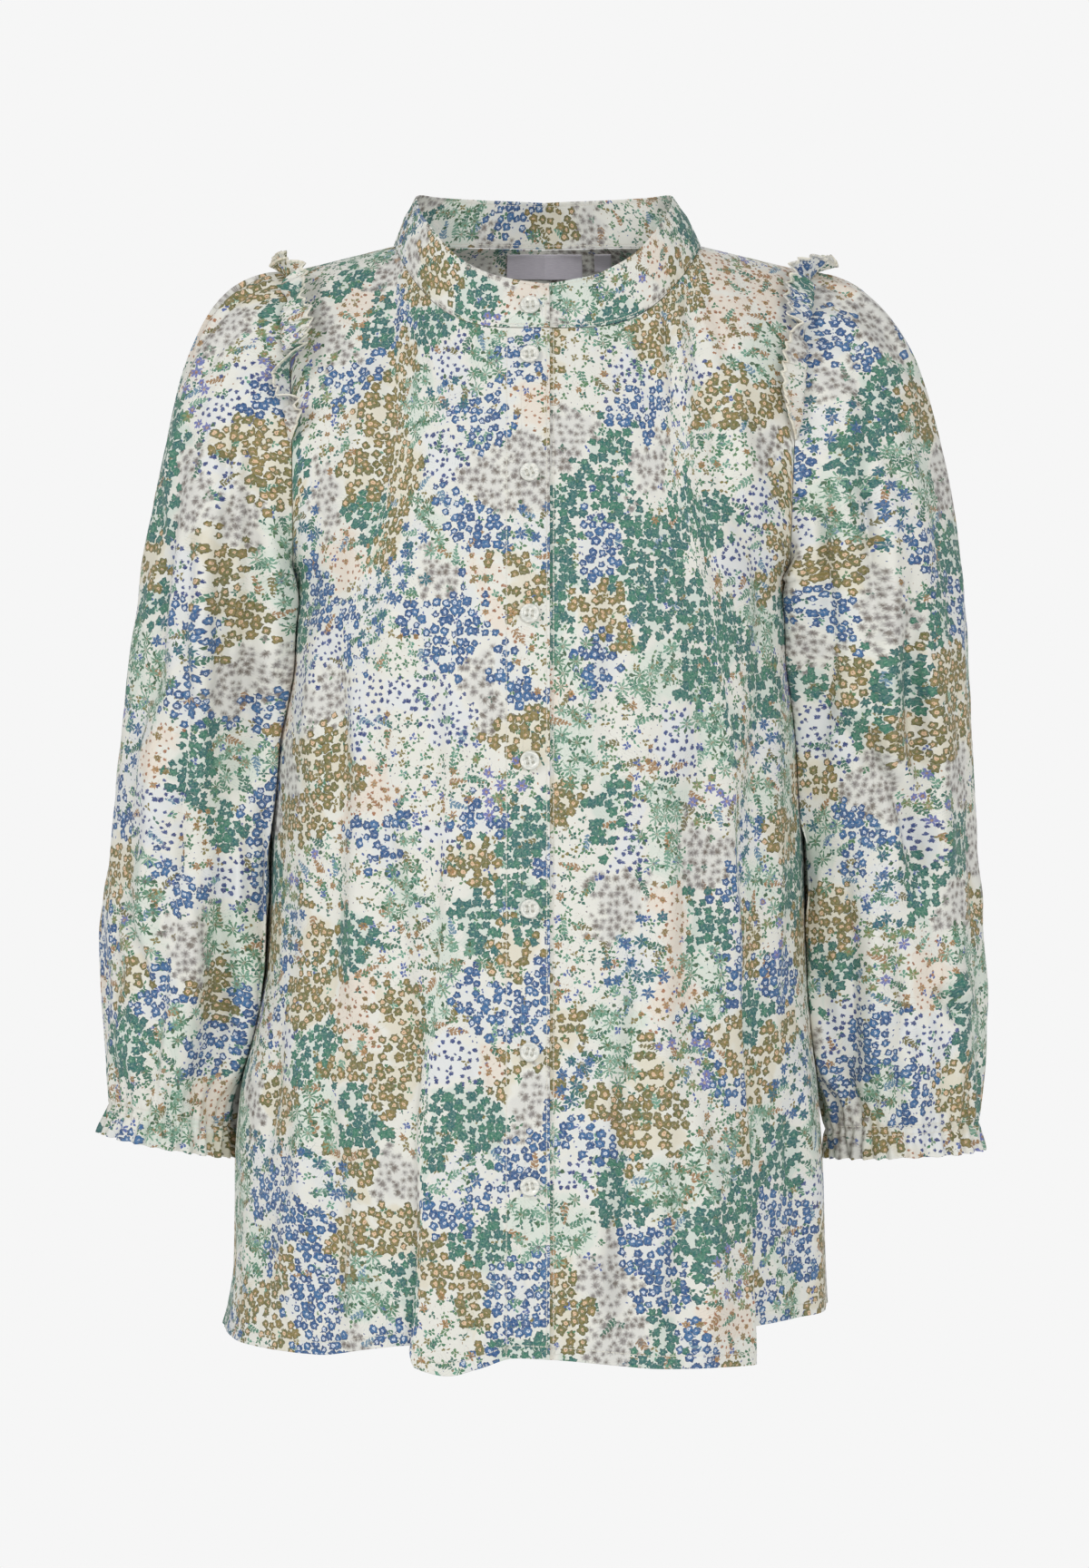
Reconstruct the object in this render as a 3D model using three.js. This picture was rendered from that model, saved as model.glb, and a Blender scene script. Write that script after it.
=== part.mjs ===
// A woman's printed blouse with a stand collar, a buttoned front, gathered
// three-quarter sleeves with elasticated cuffs, and a ruffle in each armhole seam.
// It is filled out as if worn, with nobody in it, and is open at neck, hem and cuffs.
//
// Millimetres. +Z is up, -Y is the front of the blouse, +X is the wearer's left.
// The origin is in the middle of the neck, level with the neck end of the shoulder
// seams, where the wearer's shoulders hold the blouse up.
//
// Every piece of cloth is a wall of even thickness round a middle surface that is
// worked out from the sizes and tables below.
import * as THREE from "three";

// ---------------------------------------------------------------- sizes
const WALL = 1.2; // cloth wall
const SEAM = 0.4; // clear gap where two pieces are sewn together
const DEG = Math.PI / 180;

const NECK_HALF = 86; // neck seam, half its width at the shoulders
const NECK_SIDE_Z = 2; // height of the neck seam at the shoulders
const NECK_FRONT_DROP = 51; // how far the neck seam dips at centre front
const NECK_BACK_RISE = 2; // how far it rises at centre back
const SHOULDER_HALF = 146; // shoulder seam ends this far from the middle, before the rows below
const SHOULDER_SLOPE = 0.25; // fall of the shoulder seam, mm for each mm
const RIDGE_Y = 5; // the shoulder seams and side seams lie in this plane
const UNDERARM_Z = -197;
const SHOULDER_TIP_Z = NECK_SIDE_Z - (SHOULDER_HALF - NECK_HALF) * SHOULDER_SLOPE;

const PLACKET_EDGE_X = 3; // folded edge of the overlapping front
const UNDERLAP_X = -19; // folded edge of the front beneath it
const BUTTON_X = -8;
const LAP = 1.1; // each front moves this far off the shared surface where they lap
const BUTTON_R = 5.4;
const BUTTON_THICK = 2.2;
const BUTTON_HOLE_R = 0.8;
const BUTTON_HOLE_PITCH = 2.9;

// The body, from the shoulders to the hem: how far its sides are from the middle on
// the wearer's right and left.
const BODY_ROWS = [
  { z: 40, right: 146, left: 152 },
  { z: -10, right: 146, left: 151.5 },
  { z: -30, right: 145.5, left: 149 },
  { z: -60, right: 144, left: 145 },
  { z: -100, right: 142.5, left: 141.5 },
  { z: -150, right: 142, left: 139.5 },
  { z: -197, right: 143, left: 139 },
  { z: -235, right: 146, left: 141.5 },
  { z: -290, right: 154, left: 146.5 },
  { z: -410, right: 159, left: 150.5 },
  { z: -440, right: 165, left: 153 },
  { z: -485, right: 174.5, left: 157 },
  { z: -520, right: 177, left: 159.5 },
  { z: -580, right: 178, left: 161.5 },
  { z: -605, right: 181.5, left: 162.5 },
  { z: -622, right: 186.5, left: 163 },
];

// How far the middle of the front and of the back stand off the shoulder plane, by
// the drop below the shoulder ridge.
const DEPTH_ROWS = [
  { drop: 0, front: 0, back: 0 },
  { drop: 3, front: 9, back: 14 },
  { drop: 10, front: 20, back: 30 },
  { drop: 24, front: 35, back: 54 },
  { drop: 45, front: 52, back: 66 },
  { drop: 71, front: 67, back: 75 },
  { drop: 128, front: 92, back: 86 },
  { drop: 178, front: 107, back: 91 },
  { drop: 220, front: 117, back: 93 },
  { drop: 261, front: 121.5, back: 94 },
  { drop: 310, front: 121, back: 95 },
  { drop: 420, front: 122, back: 99 },
  { drop: 520, front: 127, back: 105 },
  { drop: 700, front: 134, back: 113 },
];

// The armhole edge stands off the shoulder plane by this share of the depth.
const ARMHOLE_ROWS = [
  { z: -197, share: 0 },
  { z: -195, share: 0.12 },
  { z: -190, share: 0.25 },
  { z: -180, share: 0.38 },
  { z: -165, share: 0.49 },
  { z: -140, share: 0.6 },
  { z: -100, share: 0.71 },
  { z: -60, share: 0.81 },
  { z: -30, share: 0.9 },
  { z: -13, share: 0.96 },
];

// Hem height by the angle round the body: 0 is centre front, 90 the wearer's left.
const HEM_ROWS = [
  { angle: -180, z: -619 },
  { angle: -150, z: -622 },
  { angle: -120, z: -617 },
  { angle: -90, z: -615.5 },
  { angle: -76, z: -616.5 },
  { angle: -62, z: -620.5 },
  { angle: -44, z: -623.5 },
  { angle: -32, z: -618.5 },
  { angle: -24.3, z: -615.5 },
  { angle: -21.6, z: -618 },
  { angle: -20.5, z: -626.5 },
  { angle: -16, z: -631 },
  { angle: -11, z: -627 },
  { angle: -5, z: -621 },
  { angle: 4, z: -622.5 },
  { angle: 10, z: -624 },
  { angle: 23, z: -627.5 },
  { angle: 35, z: -628 },
  { angle: 43.4, z: -628.5 },
  { angle: 45.6, z: -611 },
  { angle: 56, z: -607.5 },
  { angle: 90, z: -604 },
  { angle: 120, z: -610 },
  { angle: 150, z: -620 },
  { angle: 180, z: -619 },
];

// The largest folds of the body. Each starts at topZ and is deepest at the hem. A
// ridge is a soft flute; a step is a fold whose far side tucks behind the near one,
// on the side that turn gives.
const BODY_FOLDS = [
  { kind: "step", angle: -23, topAngle: -24, topZ: -330, depth: 8.5, width: 17, turn: 1 },
  { kind: "step", angle: 44.6, topAngle: 46, topZ: -250, depth: 9.5, width: 16, turn: -1 },
  { kind: "ridge", angle: -64, topAngle: -66, topZ: -300, depth: 6, width: 12, turn: 1 },
  { kind: "ridge", angle: -5, topAngle: -6, topZ: -480, depth: -4, width: 9, turn: 1 },
  { kind: "ridge", angle: 27, topAngle: 24, topZ: -350, depth: 5, width: 12, turn: 1 },
  { kind: "ridge", angle: 72, topAngle: 68, topZ: -250, depth: 4.5, width: 8, turn: 1 },
  { kind: "ridge", angle: 122, topAngle: 124, topZ: -300, depth: 7, width: 9, turn: 1 },
  { kind: "step", angle: 141, topAngle: 142, topZ: -340, depth: 7, width: 15, turn: -1 },
  { kind: "ridge", angle: 168, topAngle: 166, topZ: -220, depth: 8, width: 11, turn: 1 },
  { kind: "ridge", angle: -167, topAngle: -165, topZ: -240, depth: 7, width: 12, turn: 1 },
  { kind: "step", angle: -141, topAngle: -140, topZ: -300, depth: 8, width: 16, turn: 1 },
  { kind: "ridge", angle: -119, topAngle: -121, topZ: -280, depth: 7, width: 9, turn: 1 },
];
const STEP_SOFT = 2.2; // degrees over which a step turns

// The sleeves below the cap: outer and inner edge as seen from the front, half the
// depth front to back, where that is centred, and the tilt of the ring.
const SLEEVE_RIGHT_ROWS = [
  { z: -235, outer: -235, inner: -148.8, depth: 56, y: 6, tilt: 0.0 },
  { z: -273, outer: -240.5, inner: -153.8, depth: 56, y: 14, tilt: 0.02 },
  { z: -315, outer: -246, inner: -157.5, depth: 56, y: 20, tilt: 0.04 },
  { z: -356, outer: -250.5, inner: -158.8, depth: 56, y: 25, tilt: 0.06 },
  { z: -398, outer: -254, inner: -160.6, depth: 55, y: 27, tilt: 0.09 },
  { z: -440, outer: -253.5, inner: -167.6, depth: 52, y: 27, tilt: 0.13 },
  { z: -475, outer: -252.5, inner: -175, depth: 45, y: 25, tilt: 0.17 },
  { z: -494, outer: -251, inner: -178.5, depth: 39, y: 22, tilt: 0.18 },
  { z: -500, outer: -251.5, inner: -178.8, depth: 39, y: 22, tilt: 0.18 },
  { z: -514, outer: -256, inner: -178.4, depth: 43, y: 22, tilt: 0.18 },
];
const SLEEVE_LEFT_ROWS = [
  { z: -235, outer: 241.5, inner: 144.4, depth: 56, y: 6, tilt: 0.0 },
  { z: -273, outer: 245, inner: 147.2, depth: 56, y: 14, tilt: -0.01 },
  { z: -315, outer: 247.5, inner: 149.2, depth: 56, y: 20, tilt: -0.02 },
  { z: -356, outer: 249.5, inner: 150.2, depth: 56, y: 25, tilt: -0.02 },
  { z: -398, outer: 252.5, inner: 151.3, depth: 55, y: 27, tilt: -0.03 },
  { z: -440, outer: 254.5, inner: 154.3, depth: 53, y: 27, tilt: -0.04 },
  { z: -478, outer: 252.5, inner: 159, depth: 47, y: 25, tilt: -0.05 },
  { z: -500, outer: 251, inner: 162, depth: 41, y: 22, tilt: -0.05 },
  { z: -506, outer: 251, inner: 162.2, depth: 41, y: 22, tilt: -0.05 },
  { z: -519, outer: 253.5, inner: 162.5, depth: 44, y: 22, tilt: -0.05 },
];
// The cap runs from the armhole seam to the first row: how far each end's tangent
// reaches at the shoulder.
const CAP_RIGHT = { outX: 62, outZ: -3, downX: 17, downZ: 134 };
const CAP_LEFT = { outX: 56, outZ: -4, downX: 11, downZ: 143 };
// The largest folds down each sleeve: angle 0 is the outside of the arm, 90 its
// front, 180 against the body. Depth grows from topZ to fullZ and fades to the cuff.
const SLEEVE_RIGHT_FOLDS = [
  { angle: 88, topZ: -60, fullZ: -300, depth: 3.5, width: 13 },
  { angle: 116, topZ: -60, fullZ: -320, depth: -4.5, width: 12 },
  { angle: 150, topZ: -110, fullZ: -280, depth: 3.5, width: 14 },
  { angle: 45, topZ: -40, fullZ: -260, depth: -3, width: 14 },
  { angle: -60, topZ: -60, fullZ: -300, depth: -4, width: 15 },
  { angle: -100, topZ: -60, fullZ: -280, depth: 4, width: 15 },
  { angle: -140, topZ: -60, fullZ: -300, depth: -3.5, width: 14 },
];
const SLEEVE_LEFT_FOLDS = [
  { angle: 70, topZ: -40, fullZ: -280, depth: -3.5, width: 13 },
  { angle: 100, topZ: -80, fullZ: -350, depth: 4, width: 14 },
  { angle: 128, topZ: -60, fullZ: -290, depth: -4.5, width: 12 },
  { angle: 155, topZ: -100, fullZ: -260, depth: 3.5, width: 13 },
  { angle: 28, topZ: -40, fullZ: -300, depth: -2.5, width: 14 },
  { angle: -55, topZ: -60, fullZ: -300, depth: -4, width: 15 },
  { angle: -98, topZ: -60, fullZ: -320, depth: 4, width: 15 },
  { angle: -138, topZ: -60, fullZ: -300, depth: -3.5, width: 14 },
];

// The collar band, by the angle round the neck: 0 is centre back, 180 centre front.
// The top edge: half width share, y and z.
const COLLAR_TOP_ROWS = [
  { angle: 0, y: 53, z: 31 },
  { angle: 50, y: 38, z: 32.5 },
  { angle: 85, y: 10, z: 33 },
  { angle: 100, y: -5, z: 25.5 },
  { angle: 110, y: -15, z: 18 },
  { angle: 120, y: -25, z: 9.5 },
  { angle: 132, y: -35, z: -2 },
  { angle: 145, y: -43, z: -11.5 },
  { angle: 160, y: -49.5, z: -19 },
  { angle: 180, y: -53, z: -23.5 },
];
const COLLAR_TOP_HALF = 73;
const COLLAR_LIFT = 1.35; // the band starts this far above the panels' edge
const COLLAR_OVER_ANGLE = -182; // the band's overlapping end, past centre front
const COLLAR_UNDER_ANGLE = 193; // and its end beneath, past it the other way

// The ruffles, by the angle round the armhole: 0 is the shoulder, 90 the front. They
// stand off the seam by their width and lean to the sleeve (plus) or the neck (minus).
const RUFFLE_BASE = 1.7;
const RUFFLE_RIGHT_ROWS = [
  { angle: -84, lean: -10, width: 5 },
  { angle: -72, lean: 25, width: 11 },
  { angle: -52, lean: -35, width: 15 },
  { angle: -30, lean: 30, width: 16 },
  { angle: -12, lean: -20, width: 15 },
  { angle: 3, lean: -4, width: 13 },
  { angle: 19, lean: 62, width: 17 },
  { angle: 34, lean: 0, width: 17 },
  { angle: 47, lean: -46, width: 17 },
  { angle: 60, lean: 5, width: 16 },
  { angle: 73, lean: 54, width: 15 },
  { angle: 84, lean: -20, width: 9 },
  { angle: 88, lean: -30, width: 5 },
];
const RUFFLE_LEFT_ROWS = [
  { angle: -85, lean: -20, width: 5 },
  { angle: -68, lean: 20, width: 12 },
  { angle: -46, lean: -32, width: 15 },
  { angle: -24, lean: 20, width: 16 },
  { angle: -8, lean: 50, width: 16 },
  { angle: 10, lean: 68, width: 17 },
  { angle: 24, lean: 20, width: 16 },
  { angle: 38, lean: -34, width: 17 },
  { angle: 52, lean: -12, width: 16 },
  { angle: 64, lean: -30, width: 14 },
  { angle: 76, lean: 8, width: 11 },
  { angle: 85, lean: -8, width: 5 },
];

const LABEL = { half: 22.5, top: 1.2, height: 14.5, off: 1.7, wall: 1.0, x: 0 };
const SIZE_TAB = { half: 4.9, top: 1.2, height: 10.0, off: 1.7, wall: 1.0, x: 34.5 };

const BUTTON_ROWS = [
  { name: "button_2", z: -65 },
  { name: "button_3", z: -131.5 },
  { name: "button_4", z: -210 },
  { name: "button_5", z: -291 },
  { name: "button_6", z: -373 },
  { name: "button_7", z: -452 },
  { name: "button_8", z: -526 },
];

// ---------------------------------------------------------------- helpers
const clamp = (v, a, b) => Math.min(b, Math.max(a, v));
const lerp = (a, b, t) => a + (b - a) * t;
const smooth = (a, b, v) => {
  const t = clamp((v - a) / (b - a), 0, 1);
  return t * t * (3 - 2 * t);
};

// A smooth curve through the rows of a table, which never overshoots them.
function along(rows, key, column, at) {
  const list = rows[0][key] < rows[rows.length - 1][key] ? rows : [...rows].reverse();
  const n = list.length;
  if (at <= list[0][key]) return list[0][column];
  if (at >= list[n - 1][key]) return list[n - 1][column];
  let i = 0;
  while (at > list[i + 1][key]) i++;
  const slope = (k) =>
    (list[k + 1][column] - list[k][column]) / (list[k + 1][key] - list[k][key]);
  const tangent = (k) => {
    if (k === 0) return slope(0);
    if (k === n - 1) return slope(n - 2);
    const a = slope(k - 1),
      b = slope(k);
    return a * b <= 0 ? 0 : (2 * a * b) / (a + b);
  };
  const h = list[i + 1][key] - list[i][key],
    t = (at - list[i][key]) / h;
  const a = list[i][column],
    b = list[i + 1][column],
    p = tangent(i) * h,
    q = tangent(i + 1) * h;
  return (
    a * (2 * t ** 3 - 3 * t ** 2 + 1) +
    p * (t ** 3 - 2 * t ** 2 + t) +
    b * (-2 * t ** 3 + 3 * t ** 2) +
    q * (t ** 3 - t ** 2)
  );
}

// ---------------------------------------------------------------- the body's form
// Height of the shoulder ridge, carried on across the neck.
const ridgeZ = (x) =>
  Math.abs(x) >= NECK_HALF
    ? NECK_SIDE_Z - (Math.abs(x) - NECK_HALF) * SHOULDER_SLOPE
    : NECK_SIDE_Z + (NECK_HALF - Math.abs(x)) * 0.3;
const neckFrontZ = (x) =>
  NECK_SIDE_Z - NECK_FRONT_DROP * (1 - Math.min(1, Math.abs(x) / NECK_HALF) ** 3.8);
const neckBackZ = (x) =>
  NECK_SIDE_Z + NECK_BACK_RISE * (1 - Math.min(1, Math.abs(x) / NECK_HALF) ** 2);

const bodyHalf = (side, z) => along(BODY_ROWS, "z", side < 0 ? "right" : "left", z);

// The share of the way across, 0 to 1, turned into the share of the half width.
const squash = (z) => smooth(-260, -100, z);
const shareAcross = (u, z) => lerp(Math.sin((u * Math.PI) / 2), u, squash(z));

// How far off the shoulder plane the cloth stands at a share of the half width, as a
// share of the depth in the middle: an oval, which is cut off at the armhole edge.
function standOff(t, z) {
  const edge = z <= UNDERARM_Z ? 0 : along(ARMHOLE_ROWS, "z", "share", z);
  const n = 2 + 0.4 * smooth(-330, -210, z);
  const cut = (1 - edge ** n) ** (1 / n);
  const local = 6 * (1 - smooth(UNDERARM_Z, -125, z));
  const c = 1 - (1 - cut) * t ** local;
  return Math.max(0, 1 - (c * t) ** n) ** (1 / n);
}

// How far the large folds push the cloth out at an angle and a height.
function foldOut(angle, z, hemZ) {
  let out = 0;
  for (const f of BODY_FOLDS) {
    const down = clamp((f.topZ - z) / (f.topZ - hemZ), 0, 1);
    if (down <= 0) continue;
    const centre = lerp(f.topAngle, f.angle, down);
    let off = angle - centre;
    off -= 360 * Math.round(off / 360);
    const depth = f.depth * down ** 1.15;
    if (f.kind === "ridge") out += depth * Math.exp(-((off / f.width) ** 2));
    else
      out +=
        depth * f.turn * Math.tanh(off / STEP_SOFT) * Math.exp(-Math.abs(off) / f.width);
  }
  return out;
}

// A point of the body's middle surface. side is -1 for the wearer's right, front is
// true for a front, u runs from the middle line to the side, v from the hem up.
function bodyPoint(side, front, u, v) {
  const topX = SHOULDER_HALF * u;
  const topZ = topX >= NECK_HALF ? ridgeZ(topX) : front ? neckFrontZ(topX) : neckBackZ(topX);
  const angle = front ? side * u * 90 : side * (180 - u * 90);
  const hemZ = along(HEM_ROWS, "angle", "z", angle);
  const z = lerp(hemZ, topZ, v);
  const half = bodyHalf(side, z);
  const t = shareAcross(u, z);
  const x = side * half * t;
  const drop = Math.max(0, ridgeZ(SHOULDER_HALF * t) - z);
  const depth = along(DEPTH_ROWS, "drop", front ? "front" : "back", drop);
  const sign = front ? -1 : 1;
  const off = depth * standOff(t, z) + 0.5 * (1 - smooth(0, 6, drop));
  const p = new THREE.Vector3(x, RIDGE_Y + sign * off, z);
  const out = new THREE.Vector3(x, sign * off, 0);
  if (z < -180) p.addScaledVector(out.normalize(), foldOut(angle, z, hemZ));
  return p;
}

// The same surface at a distance from the middle, near the middle line.
function bodyAt(x, front, v) {
  const side = x < 0 ? -1 : 1;
  let u = 0;
  for (let i = 0; i < 4; i++) {
    const z = bodyPoint(side, front, u, v).z;
    u = Math.abs(x) / bodyHalf(side, z) / lerp(Math.PI / 2, 1, squash(z));
  }
  const p = bodyPoint(side, front, u, v);
  p.x = x;
  return p;
}

// The armhole edge at a height, front or back, from the same surface.
function armholePoint(side, front, z) {
  const drop = Math.max(0, ridgeZ(SHOULDER_HALF) - z);
  const depth = along(DEPTH_ROWS, "drop", front ? "front" : "back", drop);
  const share = along(ARMHOLE_ROWS, "z", "share", z);
  return new THREE.Vector3(side * bodyHalf(side, z), RIDGE_Y + (front ? -1 : 1) * depth * share, z);
}

// ---------------------------------------------------------------- walls
// Normals of a grid of points, by the points either side.
function gridNormals(grid, wrap) {
  const rows = grid.length,
    cols = grid[0].length;
  return grid.map((row, j) =>
    row.map((p, i) => {
      const left = wrap ? row[(i + cols - 1) % cols] : row[Math.max(0, i - 1)];
      const right = wrap ? row[(i + 1) % cols] : row[Math.min(cols - 1, i + 1)];
      const down = grid[Math.max(0, j - 1)][i],
        up = grid[Math.min(rows - 1, j + 1)][i];
      const n = new THREE.Vector3()
        .subVectors(right, left)
        .cross(new THREE.Vector3().subVectors(up, down));
      return n.normalize();
    }),
  );
}

// A closed wall round a grid of points. wrap joins the last column to the first.
function wall(grid, thick, wrap = false) {
  const rows = grid.length,
    cols = grid[0].length;
  const normals = gridNormals(grid, wrap);
  const pos = [],
    idx = [];
  for (const s of [0.5, -0.5])
    for (let j = 0; j < rows; j++)
      for (let i = 0; i < cols; i++) {
        const p = grid[j][i].clone().addScaledVector(normals[j][i], thick * s);
        pos.push(p.x, p.y, p.z);
      }
  const at = (k, j, i) => k * rows * cols + j * cols + (i % cols);
  const quad = (a, b, c, d) => idx.push(a, b, c, a, c, d);
  const spans = wrap ? cols : cols - 1;
  for (let j = 0; j < rows - 1; j++)
    for (let i = 0; i < spans; i++) {
      quad(at(0, j, i), at(0, j, i + 1), at(0, j + 1, i + 1), at(0, j + 1, i));
      quad(at(1, j, i), at(1, j + 1, i), at(1, j + 1, i + 1), at(1, j, i + 1));
    }
  for (let i = 0; i < spans; i++) {
    quad(at(1, 0, i), at(1, 0, i + 1), at(0, 0, i + 1), at(0, 0, i));
    const k = rows - 1;
    quad(at(0, k, i), at(0, k, i + 1), at(1, k, i + 1), at(1, k, i));
  }
  if (!wrap)
    for (let j = 0; j < rows - 1; j++) {
      quad(at(0, j, 0), at(0, j + 1, 0), at(1, j + 1, 0), at(1, j, 0));
      const i = cols - 1;
      quad(at(1, j, i), at(1, j + 1, i), at(0, j + 1, i), at(0, j, i));
    }
  const g = new THREE.BufferGeometry();
  g.setAttribute("position", new THREE.Float32BufferAttribute(pos, 3));
  g.setIndex(idx);
  g.computeVertexNormals();
  return g;
}

const cloth = (colour, roughness = 0.85) =>
  new THREE.MeshStandardMaterial({ color: colour, roughness, metalness: 0 });
const PRINT = cloth(0xd9dcd0);
const LABEL_SATIN = cloth(0xb4aeb9, 0.5);
const SHELL_BUTTON = new THREE.MeshStandardMaterial({
  color: 0xe9e6da,
  roughness: 0.3,
  metalness: 0,
});

const blouse = new THREE.Group();
blouse.name = "blouse";
function add(name, geometry, material) {
  const mesh = new THREE.Mesh(geometry, material);
  mesh.name = name;
  blouse.add(mesh);
  return mesh;
}

// ---------------------------------------------------------------- fronts and back
// Heights up a panel, closer together at the shoulders.
const PANEL_ROWS = [
  0, 0.05, 0.11, 0.19, 0.28, 0.37, 0.46, 0.54, 0.61, 0.66, 0.697, 0.735, 0.785, 0.84,
  0.89, 0.93, 0.962, 0.984, 1,
];
// Columns across a panel, as shares of the way from the middle to the side, closer
// together where a fold turns sharply; the strip past the middle is in millimetres.
const SIDE_STOP = 0.9984; // stops short of the side seam by half its gap
const OVER_STRIP = [PLACKET_EDGE_X, -3];
const OVER_COLUMNS = [
  0.06, 0.115, 0.17, 0.21, 0.238, 0.256, 0.273, 0.3, 0.36, 0.44, 0.53, 0.62, 0.71, 0.8,
  0.88, 0.95, SIDE_STOP,
];
const UNDER_STRIP = [UNDERLAP_X, -10];
const UNDER_COLUMNS = [
  0, 0.07, 0.15, 0.23, 0.31, 0.38, 0.44, 0.474, 0.488, 0.503, 0.525, 0.58, 0.67, 0.77,
  0.87, 0.95, SIDE_STOP,
];
const BACK_COLUMNS = [
  0, 0.07, 0.14, 0.21, 0.29, 0.36, 0.405, 0.427, 0.446, 0.47, 0.53, 0.62, 0.71, 0.8,
  0.88, 0.95, SIDE_STOP,
];

// Where the two fronts lap, one lies over the other.
const lapOut = (x, over) => (over ? LAP : -LAP) * (1 - smooth(12, 34, Math.abs(x - BUTTON_X)));

function frontGrid(side) {
  const over = side < 0;
  const strip = over ? OVER_STRIP : UNDER_STRIP,
    columns = over ? OVER_COLUMNS : UNDER_COLUMNS;
  return PANEL_ROWS.map((v) => {
    const row = [
      ...strip.map((x) => bodyAt(x, true, v)),
      ...columns.map((u) => bodyPoint(side, true, u, v)),
    ];
    for (const p of row) p.y -= lapOut(p.x, over);
    return side < 0 ? row.reverse() : row;
  });
}

function backGrid() {
  const across = [...BACK_COLUMNS.slice(1).reverse(), ...BACK_COLUMNS.map((u) => -u)];
  return PANEL_ROWS.map((v) =>
    across.map((k) => bodyPoint(k <= 0 ? -1 : 1, false, Math.abs(k), v)),
  );
}

add("front_right", wall(frontGrid(-1), WALL), PRINT);
add("front_left", wall(frontGrid(1), WALL), PRINT);
add("back", wall(backGrid(), WALL), PRINT);

// ---------------------------------------------------------------- sleeves
const SLEEVE_COLUMNS = 20;
const CAP_STEPS = [0, 0.05, 0.13, 0.24, 0.37, 0.5, 0.63, 0.76, 0.88];
const ARM_MIDDLE_Z = (SHOULDER_TIP_Z + UNDERARM_Z) / 2;
const ARM_HALF_Z = (SHOULDER_TIP_Z - UNDERARM_Z) / 2;

// The armhole ring by angle, 0 at the shoulder, 90 at the front, 180 at the underarm.
function armholeRing(side, angle) {
  const z = ARM_MIDDLE_Z + ARM_HALF_Z * 0.9995 * Math.cos(angle * DEG);
  return armholePoint(side, Math.sin(angle * DEG) >= 0, z);
}

function sleeveFold(folds, angle, z, endZ) {
  let out = 0;
  for (const f of folds) {
    let off = angle - f.angle;
    off -= 360 * Math.round(off / 360);
    const grow = smooth(f.topZ, f.fullZ, z) * (1 - smooth(endZ + 55, endZ + 12, z));
    out += f.depth * grow * Math.exp(-((off / f.width) ** 2));
  }
  return out;
}

// A ring of the sleeve below the cap.
function sleeveRing(rows, folds, side, angle, z) {
  const outer = along(rows, "z", "outer", z),
    inner = along(rows, "z", "inner", z);
  const middle = (outer + inner) / 2,
    half = Math.abs(outer - inner) / 2;
  const depth = along(rows, "z", "depth", z);
  const endZ = rows[rows.length - 1].z;
  const fold = sleeveFold(folds, angle, z, endZ);
  const c = Math.cos(angle * DEG),
    s = Math.sin(angle * DEG);
  const x = middle + side * (half + fold * Math.abs(s)) * c,
    y = along(rows, "z", "y", z) - (depth + fold) * s;
  return new THREE.Vector3(x, y, z + along(rows, "z", "tilt", z) * (middle - x));
}

// The cap: each column runs from the armhole seam, out and down, to the first ring.
function capPoint(rows, folds, reach, side, angle, t) {
  const a = armholeRing(side, angle);
  a.x += side * (WALL / 2 + SEAM + 0.6);
  const h = sleeveRing(rows, folds, side, angle, rows[0].z);
  const high = (1 + Math.cos(angle * DEG)) / 2,
    s = Math.sin(angle * DEG);
  const low = 1 - high;
  const p1 = a
    .clone()
    .add(new THREE.Vector3(side * (7 * low + reach.outX * high), -9 * s, reach.outZ * high - 3 * low));
  const p2 = h
    .clone()
    .add(new THREE.Vector3(-side * reach.downX * high * high, -2 * s, reach.downZ * high + 12 * low));
  const k = 1 - t;
  return new THREE.Vector3()
    .addScaledVector(a, k * k * k)
    .addScaledVector(p1, 3 * k * k * t)
    .addScaledVector(p2, 3 * k * t * t)
    .addScaledVector(h, t * t * t);
}

function sleeveGrid(rows, folds, reach, side) {
  const grid = [];
  const angles = Array.from({ length: SLEEVE_COLUMNS }, (_, i) => (360 * i) / SLEEVE_COLUMNS);
  for (const t of CAP_STEPS)
    grid.push(angles.map((a) => capPoint(rows, folds, reach, side, a, t)));
  for (const r of rows) grid.push(angles.map((a) => sleeveRing(rows, folds, side, a, r.z)));
  return side < 0 ? grid.map((row) => row.reverse()) : grid;
}

const flip = (grid) => grid.map((row) => [...row].reverse());
add("sleeve_right", wall(flip(sleeveGrid(SLEEVE_RIGHT_ROWS, SLEEVE_RIGHT_FOLDS, CAP_RIGHT, -1)), WALL, true), PRINT);
add("sleeve_left", wall(flip(sleeveGrid(SLEEVE_LEFT_ROWS, SLEEVE_LEFT_FOLDS, CAP_LEFT, 1)), WALL, true), PRINT);

// ---------------------------------------------------------------- ruffles
const RUFFLE_STEPS = 44;
const RUFFLE_ACROSS = 2;

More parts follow.
